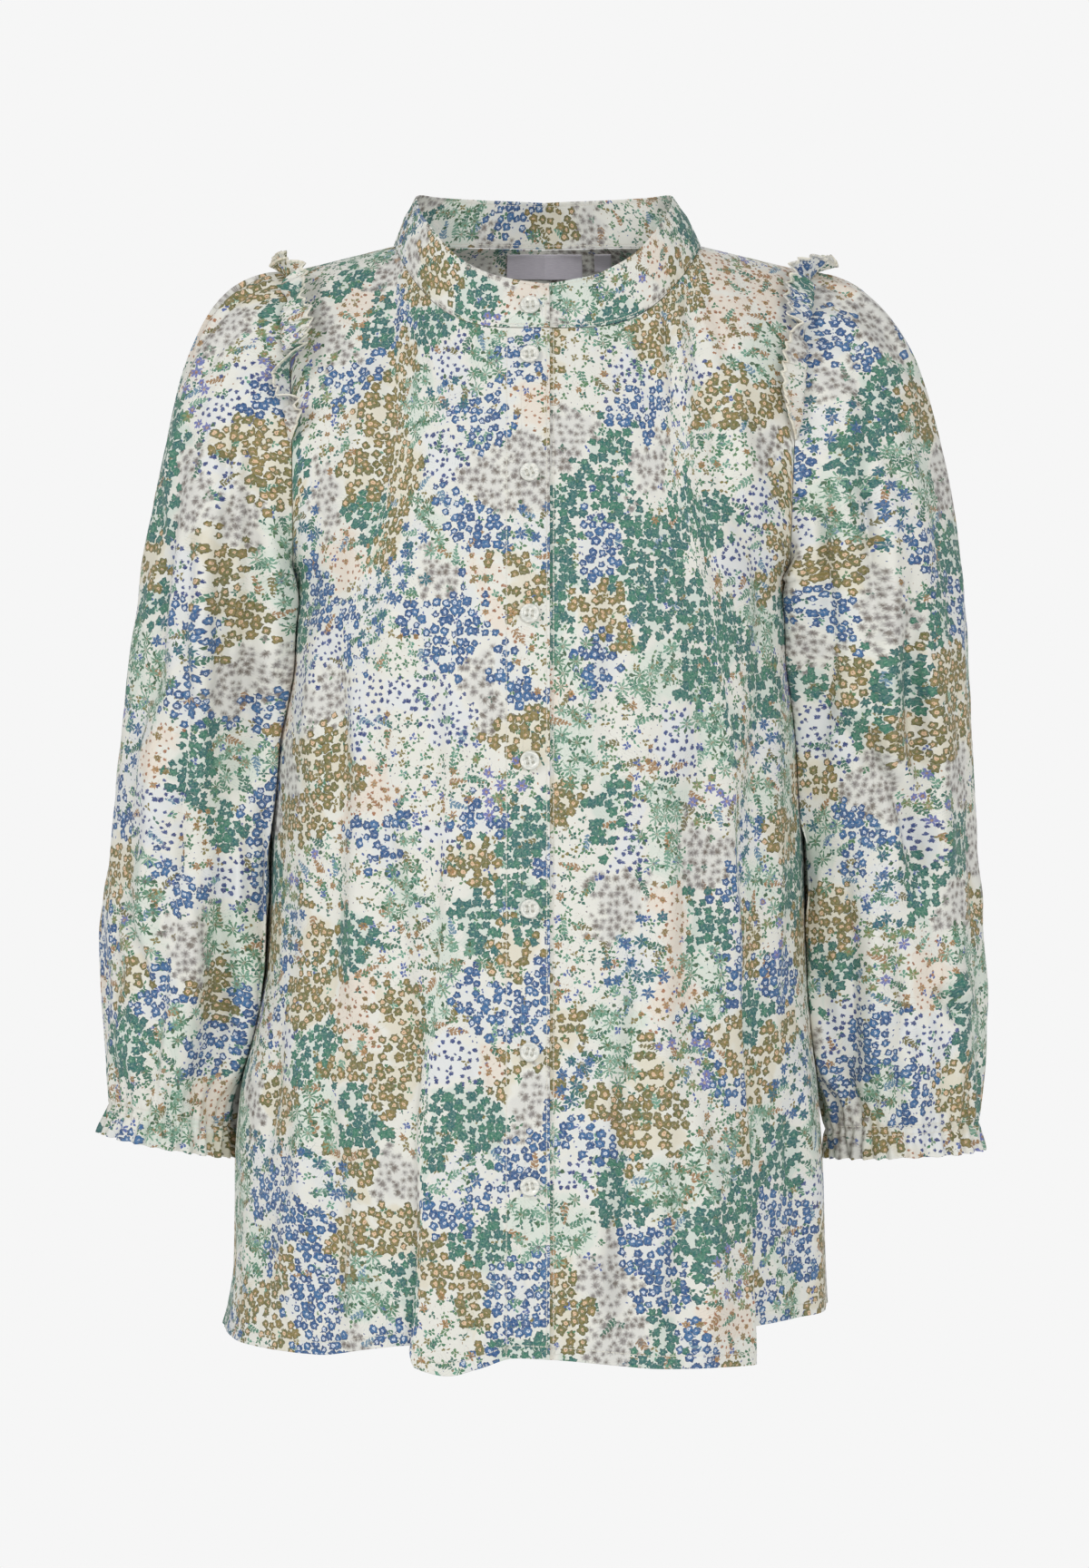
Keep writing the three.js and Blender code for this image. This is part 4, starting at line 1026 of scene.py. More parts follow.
def make_satin():
    net = Net("label_satin")
    uv = net.node("ShaderNodeUVMap", uv_map="cloth")
    flat = net.vector("SCALE", Value(net, uv.outputs[0]), scale=100.0)
    x, y, _ = net.split(flat)
    yarn = net.math("SINE", x * 6.28318 / 0.3)
    float_rows = net.noise(net.vector("MULTIPLY", flat, (0.25, 3.0, 1.0)), 1.0, 2.0)
    tint = net.mix(net.ease(float_rows, 0.3, 0.7), colour(206, 200, 210), colour(217, 212, 220))
    off = Value(net, net.node("ShaderNodeAttribute", attribute_name="stitch_off").outputs["Fac"])
    run = Value(net, net.node("ShaderNodeAttribute", attribute_name="stitch_run").outputs["Fac"])
    beat = net.math("FRACT", run / 2.2)
    dash = net.ease(net.math("ABSOLUTE", beat - 0.5), 0.44, 0.36)
    thread = net.ease(net.math("ABSOLUTE", off), 0.3, 0.16) * dash
    tint = net.mix(thread, tint, colour(228, 225, 229))
    height = yarn * 0.04 + float_rows * 0.08 + thread * 0.2
    bump = net.node("ShaderNodeBump")
    bump.inputs["Strength"].default_value = 0.5
    bump.inputs["Distance"].default_value = 0.0005
    net.put(bump.inputs["Height"], height)
    shader = net.node("ShaderNodeBsdfPrincipled")
    net.put(shader.inputs["Base Color"], tint)
    net.put(shader.inputs["Roughness"], net.ease(float_rows, 0.2, 0.8, 0.36, 0.5))
    shader.inputs["Sheen Weight"].default_value = 0.2
    shader.inputs["Anisotropic"].default_value = 0.4
    net.tree.links.new(bump.outputs[0], shader.inputs["Normal"])
    out = net.node("ShaderNodeOutputMaterial")
    net.tree.links.new(shader.outputs[0], out.inputs["Surface"])
    return net.material


PRINT = make_print()
SHELL = make_button_material()
THREAD = make_thread_material()
SATIN = make_satin()

# ---------------------------------------------------------------- crease tables
# kind, top pixel, bottom pixel, bow, width, depth
FRONT_CREASES = [
    # the wearer's right
    ("ridge", 410, 392, 372, 540, 4, 8, 3.8),
    ("trough", 428, 410, 398, 590, 4, 7, 2.8),
    ("ridge", 352, 690, 344, 1010, -3, 9, 4.1),
    ("trough", 372, 740, 362, 1090, 3, 8, 4.1),
    ("ridge", 396, 800, 398, 1180, -4, 9, 3.5),
    ("trough", 421, 900, 444, 1200, 5, 8, 4.1),
    ("ridge", 425, 1170, 420, 1300, 0, 7, 3.5),
    ("ridge", 330, 1130, 320, 1450, 4, 10, 4.8),
    ("trough", 300, 1150, 284, 1450, -4, 8, 4.8),
    ("trough", 358, 1210, 364, 1470, 4, 8, 4.1),
    ("ridge", 394, 1320, 392, 1490, 0, 8, 3.8),
    ("trough", 518, 1130, 532, 1510, 5, 9, 4.8),
    ("ridge", 505, 760, 512, 1120, -4, 10, 2.6),
    ("trough", 470, 700, 478, 1010, 3, 9, 2.6),
    ("ridge", 553, 1230, 560, 1520, 0, 7, 2.5),
    # the wearer's left
    ("ridge", 812, 415, 846, 560, -4, 8, 3.5),
    ("trough", 790, 430, 822, 610, -3, 7, 2.5),
    ("trough", 836, 620, 836, 900, 3, 7, 3.5),
    ("ridge", 857, 780, 868, 1240, -4, 9, 4.1),
    ("ridge", 792, 760, 800, 1110, 5, 10, 3.1),
    ("trough", 770, 810, 760, 1210, -5, 9, 3.5),
    ("ridge", 738, 880, 722, 1340, 4, 10, 3.2),
    ("trough", 702, 1080, 688, 1490, -4, 9, 4.5),
    ("ridge", 664, 1180, 655, 1510, 3, 9, 3.5),
    ("trough", 634, 1240, 629, 1510, 0, 6, 2.6),
    ("ridge", 770, 1240, 783, 1500, 3, 9, 4.5),
    ("trough", 746, 1290, 749, 1500, 0, 7, 3.8),
    ("trough", 872, 1230, 881, 1430, 3, 7, 3.8),
    ("ridge", 892, 1190, 898, 1410, 0, 6, 2.8),
    ("trough", 680, 620, 672, 960, -4, 9, 2.5),
    # wide swells over the chest
    ("ridge", 418, 560, 424, 720, 0, 44, 3.6),
    ("ridge", 772, 560, 780, 720, 0, 50, 3.6),
]
# short gathers that run down from the neck seam
NECK_GATHERS = [
    ("trough", 436, 322, 428, 402, 1, 2.8, 1.2),
    ("ridge", 443, 325, 440, 430, 1, 3.0, 1.3),
    ("trough", 450, 327, 452, 440, 1, 2.6, 1.7),
    ("ridge", 460, 332, 466, 452, 1, 3.2, 1.3),
    ("trough", 471, 336, 478, 424, 0, 2.6, 1.0),
    ("ridge", 487, 342, 493, 410, 0, 2.8, 0.8),
    ("trough", 505, 348, 510, 418, 0, 2.6, 0.8),
    ("ridge", 690, 344, 690, 408, 0, 2.8, 0.8),
    ("trough", 705, 340, 706, 418, 0, 2.6, 1.0),
    ("ridge", 721, 334, 726, 436, 0, 3.0, 1.2),
    ("trough", 733, 330, 744, 450, -1, 2.6, 1.9),
    ("ridge", 745, 326, 760, 464, -1, 3.2, 1.6),
    ("trough", 757, 322, 778, 440, -1, 2.6, 1.4),
    ("ridge", 768, 320, 792, 424, -1, 3.2, 1.1),
    ("trough", 779, 316, 806, 396, -1, 2.6, 0.8),
]
# x and z of the top and bottom in millimetres, for the hidden back
BACK_CREASES = [
    ("trough", -118, -60, -104, -235, 6, 8, 4.6),
    ("ridge", -98, -50, -82, -260, 6, 9, 4.6),
    ("trough", 120, -70, 100, -250, -6, 8, 5.0),
    ("ridge", 96, -40, 84, -230, -5, 9, 4.2),
    ("trough", -52, -150, -58, -420, 5, 9, 4.6),
    ("ridge", -30, -120, -26, -360, -4, 10, 4.2),
    ("trough", 6, -200, 2, -520, 4, 9, 5.0),
    ("ridge", 40, -170, 46, -470, -5, 10, 4.6),
    ("trough", 66, -260, 72, -600, 4, 8, 5.9),
    ("ridge", 104, -300, 116, -600, -4, 9, 5.5),
    ("trough", 138, -330, 146, -590, 3, 8, 5.0),
    ("trough", -96, -320, -104, -600, -4, 8, 5.9),
    ("ridge", -134, -340, -146, -600, 4, 9, 5.5),
    ("ridge", -20, -430, -18, -610, 0, 8, 4.6),
    ("trough", -62, -470, -66, -610, 0, 7, 4.6),
    ("ridge", -8, -10, -10, -70, 0, 5, 2.0),
    ("trough", 14, -12, 16, -80, 0, 4, 2.1),
    ("ridge", 34, -14, 38, -90, 0, 5, 2.1),
    ("trough", -34, -12, -38, -84, 0, 4, 2.1),
]
SLEEVE_CREASES = {
    -1: [
        ("ridge", 304, 520, 300, 780, 2, 7, 5.7),
        ("trough", 276, 500, 264, 900, 3, 6, 6.2),
        ("ridge", 228, 560, 210, 910, 4, 8, 5.7),
        ("trough", 250, 470, 238, 800, 3, 6, 5.3),
        ("trough", 203, 700, 190, 1060, 4, 6, 6.2),
        ("ridge", 168, 780, 150, 1060, 3, 8, 5.3),
        ("trough", 178, 560, 160, 800, 3, 6, 3.6),
        ("ridge", 262, 880, 270, 1070, -3, 6, 5.3),
        ("trough", 286, 860, 288, 1160, 2, 5, 4.9),
        ("trough", 242, 930, 230, 1210, 4, 6, 5.7),
        ("ridge", 208, 980, 200, 1200, 2, 7, 5.3),
        ("trough", 174, 1040, 166, 1220, 2, 5, 4.9),
        ("ridge", 140, 1080, 146, 1210, -3, 6, 4.0),
        ("trough", 128, 980, 156, 1140, 5, 5, 4.5),
        ("step", 236, 1090, 262, 1150, 3, 6, 3.0),
    ],
    1: [
        ("ridge", 874, 580, 892, 900, -4, 7, 5.7),
        ("ridge", 930, 430, 925, 640, 2, 8, 4.9),
        ("trough", 902, 520, 908, 830, 3, 5, 5.7),
        ("trough", 952, 500, 958, 900, 4, 6, 5.7),
        ("ridge", 978, 580, 988, 900, -4, 8, 4.9),
        ("trough", 1004, 640, 1006, 1000, 3, 6, 4.9),
        ("ridge", 1030, 760, 1034, 1010, 2, 7, 4.0),
        ("trough", 922, 800, 1032, 985, 8, 6, 6.2),
        ("ridge", 934, 770, 1046, 950, 8, 7, 4.9),
        ("trough", 1036, 1095, 1062, 1132, 3, 4, 6.9),
        ("ridge", 1040, 1070, 1068, 1112, 3, 5, 4.9),
        ("ridge", 905, 940, 912, 1190, -3, 7, 5.3),
        ("trough", 931, 970, 936, 1210, 3, 5, 5.3),
        ("ridge", 966, 1000, 960, 1220, 2, 7, 4.9),
        ("trough", 995, 1050, 986, 1230, 3, 5, 4.9),
        ("ridge", 1024, 1130, 1016, 1235, 2, 6, 4.0),
        ("trough", 884, 900, 890, 1100, 2, 5, 4.0),
    ],
}
# the back of each sleeve, by x outwards and z
SLEEVE_BACK_CREASES = [
    ("ridge", 168, -120, 166, -300, 3, 8, 4.4),
    ("trough", 184, -90, 186, -330, -3, 6, 4.8),
    ("ridge", 202, -120, 208, -300, -4, 8, 4.4),
    ("trough", 218, -200, 222, -420, 3, 6, 4.4),
    ("trough", 170, -300, 180, -450, 5, 6, 4.8),
    ("ridge", 192, -310, 200, -470, 4, 7, 4.8),
    ("trough", 232, -340, 214, -440, -5, 6, 4.4),
    ("ridge", 238, -260, 240, -420, 3, 7, 3.8),
]


# ---------------------------------------------------------------- fronts and back
def panel_rows(length=620.0):
    low = [0, 1.4, 3.0, 4.6, 6.2, 7.0, 7.8, 8.8, 10.5]
    body = list(np.arange(13.0, length - 20, 3.0))
    high = [length - d for d in (18.5, 16, 13.6, 11.3, 9.2, 7.3, 5.6, 4.1, 2.9, 1.9, 1.0, 0)]
    v = [m / length for m in low + body + high]
    return np.array(widen(v, lambda k: 1.4 if k == 0 else 1.0))


def spread(a, b, count, dense=()):
    """Steps from a to b, closer together near the places in dense: (place, width)."""
    fine = np.linspace(a, b, 2000)
    weight = np.ones(2000)
    for place, width in dense:
        weight += 1.6 * np.exp(-(((fine - place) / width) ** 2))
    total = np.concatenate([[0], np.cumsum((weight[1:] + weight[:-1]) / 2)])
    return np.interp(np.linspace(0, total[-1], count), total, fine)


def lap_out(x, over):
    return (LAP if over else -LAP) * (1 - smooth(12, 34, np.abs(x - BUTTON_X)))


EDGE_OFF = 0.18


def front_panel(name, side, node, shift):
    over = side < 0
    v = panel_rows()[:, None]
    if over:
        strip = [PLACKET_EDGE_X, 1.4, -0.2, -1.7, -3.2]
        u = spread(0.034, SIDE_STOP, 112, [(0.26, 0.05)])
    else:
        strip = [UNDERLAP_X, -17.2, -15, -12.5, -10, -7.2, -4.6, -2.0]
        u = spread(0.0, SIDE_STOP, 112, [(0.5, 0.05)])
    strip = widen(strip, lambda k: abs(strip[1] - strip[0]), last=False)
    u = np.array(widen(list(u), lambda k: (u[-1] - u[-2]) * 240.0, first=False))
    a = body_at(np.array(strip)[None, :], True, v, EDGE_OFF)
    b = body_point(side, True, u[None, :], v, EDGE_OFF)
    g = np.concatenate([a, b], 1)
    g[..., 1] -= lap_out(g[..., 0], over)
    if over:
        g[..., 1] += 0.5 * (1 - smooth(0, 5, np.abs(g[..., 0] - PLACKET_EDGE_X)))
    if over:
        g = g[:, ::-1]
    # the flat cloth: across from centre front, up from the hem
    across = run_length(g, 1)
    middle = np.argmin(np.abs(g[60, :, 0]))
    across = across - across[:, middle : middle + 1]
    up = run_length(g, 0)
    tall = up + g[0, :, 2][None, :]
    uv = np.stack([across + shift[0], tall + shift[1]], -1)
    x, z = g[..., 0], g[..., 2]
    # creases, which stop at the seams and flatten on the button stand
    out = crease(x, z, FRONT_CREASES)
    out += ripples(across, z, 11 if over else 12, 0.55)
    out += ripples(across, z, 31 if over else 32, 0.9, (50, 110), (200, 500), 7)
    from_side = np.abs((across[:, -1:] if not over else across[:, :1]) - across)
    from_top = up[-1:] - up
    stand = smooth(15, 36, np.abs(x - BUTTON_X))
    by_sleeve = smooth(-500, -440, z) * (z < -180)
    out *= lerp(smooth(0, 16, from_side), smooth(6, 52, from_side), by_sleeve)
    out *= smooth(0, 26, from_top) * lerp(0.22, 1, stand)
    out = np.where(z < -190, np.minimum(out, 6 * smooth(2, 44, from_side)), out)
    out += crease(x, z, NECK_GATHERS, -60.0) * smooth(0.5, 9, from_top) * smooth(8, 20, np.abs(x - BUTTON_X))
    # small tucks where the cloth is eased into the neck and armhole seams
    seam_run = np.where(np.abs(x) < NECK_HALF + 2, x, 0)
    near = np.exp(-from_top / 9) * smooth(0.4, 4, from_top) * (np.abs(x) < NECK_HALF + 4) * smooth(14, 26, np.abs(x - BUTTON_X))
    out += 0.55 * gathers(seam_run + 100, 30, 200, 5) * near
    arm = (z > UNDERARM_Z + 8) * smooth(0.4, 4, from_side) * np.exp(-from_side / 10)
    out += 0.5 * gathers(z + 210, 22, 210, 9 if over else 10) * arm
    # puckers along the stitches of the button stand and the hem
    stand_edge = PLACKET_EDGE_X - PLACKET_WIDTH if over else UNDERLAP_X + PLACKET_WIDTH
    out += 0.16 * np.sin(z * 0.42 + np.sin(z * 0.11) * 2) * np.exp(-((x - stand_edge) / 5) ** 2)
    out += 0.3 * np.sin(across * 0.23 + np.sin(across * 0.07) * 3) * np.exp(-up / 12)
    n = grid_normals(g)
    g = g + n * out[..., None]
    # the turned hem and the folded stand are thicker
    edge_x = PLACKET_EDGE_X if over else UNDERLAP_X
    extra = 0.45 * (1 - smooth(HEM_TURN - 0.8, HEM_TURN + 0.6, up))
    extra = np.maximum(extra, 0.35 * (1 - smooth(PLACKET_WIDTH - 1, PLACKET_WIDTH + 0.6, np.abs(x - edge_x))))
    lines = [(up - HEM_TURN + 0.9, across), (np.abs(x - edge_x) - PLACKET_WIDTH, z)]
    lines.append((np.abs(x - edge_x) - 1.8, z))
    lines.append((np.where(np.abs(x) > NECK_HALF, from_top - 1.6, 9.0), across))
    ob = shell(name, g, uv, PRINT, extra=extra, stitch=nearest_stitch(lines))
    cloth_piece(ob, [node])
    return uv, g


def back_panel():
    v = panel_rows()[:, None]
    u = spread(0, SIDE_STOP, 84, [(0.44, 0.05)])
    u = np.array(widen(list(u), lambda k: (u[-1] - u[-2]) * 240.0, first=False))
    left = body_point(1, False, u[None, ::-1], v, EDGE_OFF)
    right = body_point(-1, False, u[None, 1:], v, EDGE_OFF)
    g = np.concatenate([left, right], 1)
    across = run_length(g, 1)
    middle = len(u) - 1
    across = across - across[:, middle : middle + 1]
    up = run_length(g, 0)
    tall = up + g[0, :, 2][None, :]
    uv = np.stack([across + 700, tall + 90], -1)
    x, z = g[..., 0], g[..., 2]
    out = crease_mm(x, z, BACK_CREASES)
    out += ripples(across, z, 13, 0.55)
    out += ripples(across, z, 33, 1.0, (50, 110), (200, 500), 8)
    from_side = np.minimum(np.abs(across - across[:, :1]), np.abs(across - across[:, -1:]))
    from_top = up[-1:] - up
    out *= smooth(0, 16, from_side) * smooth(0, 26, from_top)
    out = np.where(z < -190, np.minimum(out, 6 * smooth(2, 44, from_side)), out)
    # the label hangs clear of the creases
    by_label = (1 - smooth(48, 62, np.abs(x))) * (1 - smooth(24, 50, from_top))
    out = lerp(out, np.maximum(out, 0) * 0.3, by_label)
    near = np.exp(-from_top / 9) * smooth(0.4, 4, from_top) * (np.abs(x) < NECK_HALF + 4)
    out += 0.4 * gathers(x + 100, 28, 200, 6) * near * (1 - by_label)
    arm = (z > UNDERARM_Z + 8) * smooth(0.4, 4, from_side) * np.exp(-from_side / 10)
    out += 0.5 * gathers(z + 210, 22, 210, 19) * arm
    out += 0.3 * np.sin(across * 0.21 + np.sin(across * 0.06) * 3) * np.exp(-up / 12)
    g = g + grid_normals(g) * out[..., None]
    extra = 0.45 * (1 - smooth(HEM_TURN - 0.8, HEM_TURN + 0.6, up))
    lines = [(up - HEM_TURN + 0.9, across), (np.where(np.abs(x) > NECK_HALF, from_top - 1.6, 9.0), across)]
    ob = shell("back_cloth", g, uv, PRINT, extra=extra, stitch=nearest_stitch(lines))
    cloth_piece(ob, ["back"])
    return uv, g


# ---------------------------------------------------------------- sleeves
SIDE_Z = np.arange(-640.0, -150.0, 3.0)
SIDE_Y = np.arange(-74.0, 75.0, 2.0)
body_sides = {}


def find_sides(front_grids, back_grid):
    """How far out the body's side lies, by z and y, from the finished cloth."""
    for side in (-1, 1):
        table = np.zeros((len(SIDE_Z), len(SIDE_Y)))
        parts = []
        for g in (front_grids[side], back_grid):
            keep = side * g[60, :, 0] > 60
            parts.append(g[:, keep])
        cloth = np.concatenate(parts, 1)
        columns = []
        for j in range(cloth.shape[1]):
            z = cloth[:, j, 2]
            columns.append([np.interp(SIDE_Z, z, cloth[:, j, 0]), np.interp(SIDE_Z, z, cloth[:, j, 1])])
        columns = np.array(columns)
        for i in range(len(SIDE_Z)):
            order = np.argsort(columns[:, 1, i])
            table[i] = np.interp(SIDE_Y, columns[order, 1, i], side * columns[order, 0, i])
        body_sides[side] = table


def side_out(side, y, z):
    table = body_sides[side]
    fy = np.clip((y - SIDE_Y[0]) / 2.0, 0, len(SIDE_Y) - 1.001)
    fz = np.clip((z - SIDE_Z[0]) / 3.0, 0, len(SIDE_Z) - 1.001)
    iy, iz = np.floor(fy).astype(int), np.floor(fz).astype(int)
    ty, tz = fy - iy, fz - iz
    low = lerp(table[iz, iy], table[iz, iy + 1], ty)
    high = lerp(table[iz + 1, iy], table[iz + 1, iy + 1], ty)
    slope = lerp(table[iz, iy + 1] - table[iz, iy], table[iz + 1, iy + 1] - table[iz + 1, iy], tz) / 2.0
    return lerp(low, high, tz), slope


def sleeve_fold(side, angle, z, end_z):
    out = np.zeros(np.broadcast(angle, z).shape)
    for at, top, full, depth, width in SLEEVE_FOLDS[side]:
        off = angle - at
        off = off - 360 * np.round(off / 360)
        grow = smooth(top, full, z) * (1 - smooth(end_z + 55, end_z + 12, z))
        out += depth * grow * np.exp(-((off / width) ** 2))
    return out


def sleeve_ring(side, angle, z):
    rows = SLEEVE_ROWS[side]
    outer, inner = along(rows, z, 1), along(rows, z, 2)
    middle, half = (outer + inner) / 2, np.abs(outer - inner) / 2
    fold = sleeve_fold(side, angle, z, rows[-1][0])
    c, s = np.cos(angle * DEG), np.sin(angle * DEG)
    # the inner front is squarer, where the sleeve rests against the body
    square = smooth(90, 120, angle) * (1 - smooth(172, 180, angle)) * smooth(-485, -440, z)
    power = 1 - 0.48 * square
    c, s = np.sign(c) * np.abs(c) ** power, np.sign(s) * np.abs(s) ** power
    x = middle + side * (half + fold * np.abs(s)) * c
    y = along(rows, z, 4) - (along(rows, z, 3) + fold) * s
    return np.stack(np.broadcast_arrays(x, y, z + along(rows, z, 5) * (middle - x)), -1)


def cap_point(side, angle, t):
    a = armhole_ring(side, angle)
    ruffled = 1 - smooth(84, 96, np.abs(angle - 360 * np.round(angle / 360)))
    a[..., 0] += side * (0.75 + 0.75 * ruffled)
    h = sleeve_ring(side, angle, np.full(np.shape(angle), float(SLEEVE_ROWS[side][0][0])))
    high = (1 + np.cos(angle * DEG)) / 2
    low, s = 1 - high, np.sin(angle * DEG)
    out_x, out_z, down_x, down_z = CAP[side]
    p1 = a + np.stack([side * (7 * low * (1 - 0.85 * smooth(0.7, 0.95, low)) + out_x * high), -9 * s, out_z * high - 3 * low], -1)
    p2 = h + np.stack([-side * down_x * high * high, -2 * s, down_z * high + 12 * low], -1)
    k = 1 - t
    return a * k**3 + p1 * 3 * k * k * t + p2 * 3 * k * t * t + h * t**3


def rest_on_side(side, g, angle, hold):
    """Lay the sleeve's inner side against the body: close to it, never through it."""
    turned = np.where(angle < -90, angle + 360, angle)
    reach, slope = side_out(side, g[..., 1], g[..., 2])
    z = g[..., 2]
    reach = reach + lerp(0.85, 1.15, smooth(-200, -230, z)) * np.sqrt(1 + slope**2)
    hug = smooth(108, 150, turned) * (1 - smooth(208, 232, turned)) * smooth(-146, -206, z) * smooth(-492, -460, z)
    away = side * g[..., 0]
    settled = lerp(away, np.minimum(away, reach), hug * hold)
    inner = smooth(96, 110, turned) * (1 - smooth(250, 264, turned)) * smooth(-197, -201, z)
    settled = lerp(settled, np.maximum(settled, reach), inner)
    out = g.copy()
    out[..., 0] = side * settled
    return out


def sleeve(name, side, node, shift):
    count = 190
    angle = np.linspace(0, 360, count, endpoint=False) - 180.0  # the seam is underneath
    end_z = SLEEVE_ROWS[side][-1][0]
    t = widen(list(np.linspace(0, 1, 62) ** 1.12), lambda k: 1.0, last=False)[:-1]
    z = list(np.arange(SLEEVE_ROWS[side][0][0], end_z + 26, -2.8)) + list(np.arange(end_z + 24, end_z + 1, -1.6))
    z = widen(z + [end_z], lambda k: 1.4, first=False)
    cap = np.stack([cap_point(side, angle[None, :], s)[0] for s in t])
    # the seam allowance turns in under the body's edge
    inward = np.stack([0 * angle, cap[0, :, 1] - RIDGE_Y, cap[0, :, 2] - ARM_MIDDLE_Z], -1)
    inward = -unit(inward)
    turned = []
    for deep, under in ((3.0, 1.9), (1.9, 0.9), (0.8, 0.2)):
        row = cap[0] + inward * deep
        row[:, 0] -= side * under
        turned.append(row)
    cap = np.concatenate([np.array(turned), cap])
    begin = len(turned)
    tube = sleeve_ring(side, angle[None, :], np.array(z)[:, None])
    g = np.concatenate([cap, tube])
    g = rest_on_side(side, g, np.broadcast_to(angle[None, :], g.shape[:2]), 1.0)
    if side > 0:
        g, angle = g[:, ::-1], angle[::-1]
    n = grid_normals(g, True)
    middle = g.mean(1, keepdims=True)
    if np.mean(np.sum(n * (g - middle), -1)) < 0:
        n = -n
        flip = True
    else:
        flip = False
    down = run_length(g, 0)
    down = down - down[begin][None, :]
    closed = np.concatenate([g, g[:, :1]], 1)
    ring = run_length(closed, 1)
    around = ring[:, -1:]
    # cut width: the cuff is gathered, so its cloth is wider than the ring
    wide = np.maximum(around, np.where(g[:, :1, 2] < -300, 318.0, 0))
    share = ring / around - 0.5
    low = down - down[begin + len(t)][None, :]  # the ring below the cap is level when flat
    low = np.concatenate([low, low[:, :1]], 1)
    uv = np.stack([share * wide, -low], -1)
    uv = lay_flat(closed, uv, wide / around) + np.array(shift)
    x, zz = g[..., 0], g[..., 2]
    a = np.broadcast_to(angle[None, :], x.shape)
    front = smooth(4, 30, a) * (1 - smooth(150, 178, a))
    back = smooth(4, 30, -a) * (1 - smooth(150, 178, -a))
    out = crease(x, zz, SLEEVE_CREASES[side], -42.0) * front
    out += crease_mm(np.abs(x), zz, SLEEVE_BACK_CREASES) * back
    arc = a * 0.95
    out += ripples(arc, zz, 21 if side < 0 else 22, 1.1, (14, 34), (70, 200))
    out += ripples(arc, zz, 41 if side < 0 else 42, 1.8, (36, 80), (150, 400), 7)
    out *= smooth(0, 34, down)
    # gathers at the sleeve head, fewest under the arm
    top = 1 - smooth(70, 150, np.abs(a))
    turn = a + 180
    out += 0.75 * gathers(turn, 64, 360, 51 + side) * np.exp(-down / 13) * smooth(0.3, 3, down) * lerp(0.4, 1, top)
    out += 1.5 * gathers(turn, 31, 360, 61 + side) * np.exp(-down / 34) * smooth(0.5, 12, down) * lerp(0.25, 1, top)
    out += 2.0 * gathers(turn, 15, 360, 71 + side) * np.exp(-down / 75) * smooth(2, 34, down) * lerp(0.2, 1, top)
    # gathers at the elastic, and the frill below it
    up = ELASTIC_Z[side]
    centre_x = x.mean(1, keepdims=True)
    tilt = along(SLEEVE_ROWS[side], zz, 5)
    level = zz - tilt * (centre_x - x) - up  # height above the elastic
    above, below = np.maximum(level, 0), np.maximum(-level, 0)
    out += 1.5 * gathers(turn, 44, 360, 81 + side) * np.exp(-above / 13) * (1 - smooth(0, 14, below) * 0.3) * smooth(0, 3, np.abs(level) + 1.6)
    out += 1.9 * gathers(turn, 21, 360, 91 + side) * np.exp(-above / 40) * smooth(-1, 16, above) * (below <= 0)
    out += 2.0 * gathers(turn, 9, 360, 101 + side) * np.exp(-above / 70) * smooth(10, 40, above) * (below <= 0)
    out += 2.1 * gathers(turn, 27, 360, 111 + side) * smooth(0, 15, below)
    out -= 1.0 * np.exp(-((level / 2.6) ** 2))
    turned_in = np.where(a < -90, a + 360, a)
    touching = smooth(112, 150, turned_in) * (1 - smooth(205, 235, turned_in)) * smooth(-480, -440, zz) * (zz < -190)
    out = lerp(out, np.minimum(out, 0.0), touching)
    g = g + n * out[..., None]
    g = rest_on_side(side, g, a, 0.0)
    # the frill's edge is uneven
    wave = gathers(turn, 27, 360, 111 + side)
    g[..., 2] -= 0.8 * wave * smooth(6, 18, below)
    if flip:
        g, uv, out = g[:, ::-1], uv[:, ::-1], out[:, ::-1]
        level, down, a = level[:, ::-1], down[:, ::-1], a[:, ::-1]
    from_end = down[-1:] - down
    extra = 0.4 * (1 - smooth(6, 7.5, from_end))
    extra = np.maximum(extra, 0.5 * np.exp(-((level / 4) ** 4)))
    run = a * 0.7
    lines = [(level - 2.6, run), (level + 2.6, run)]
    ob = shell(name, g, uv, PRINT, wrap=True, extra=extra, stitch=nearest_stitch(lines))
    cloth_piece(ob, [node])
    return uv


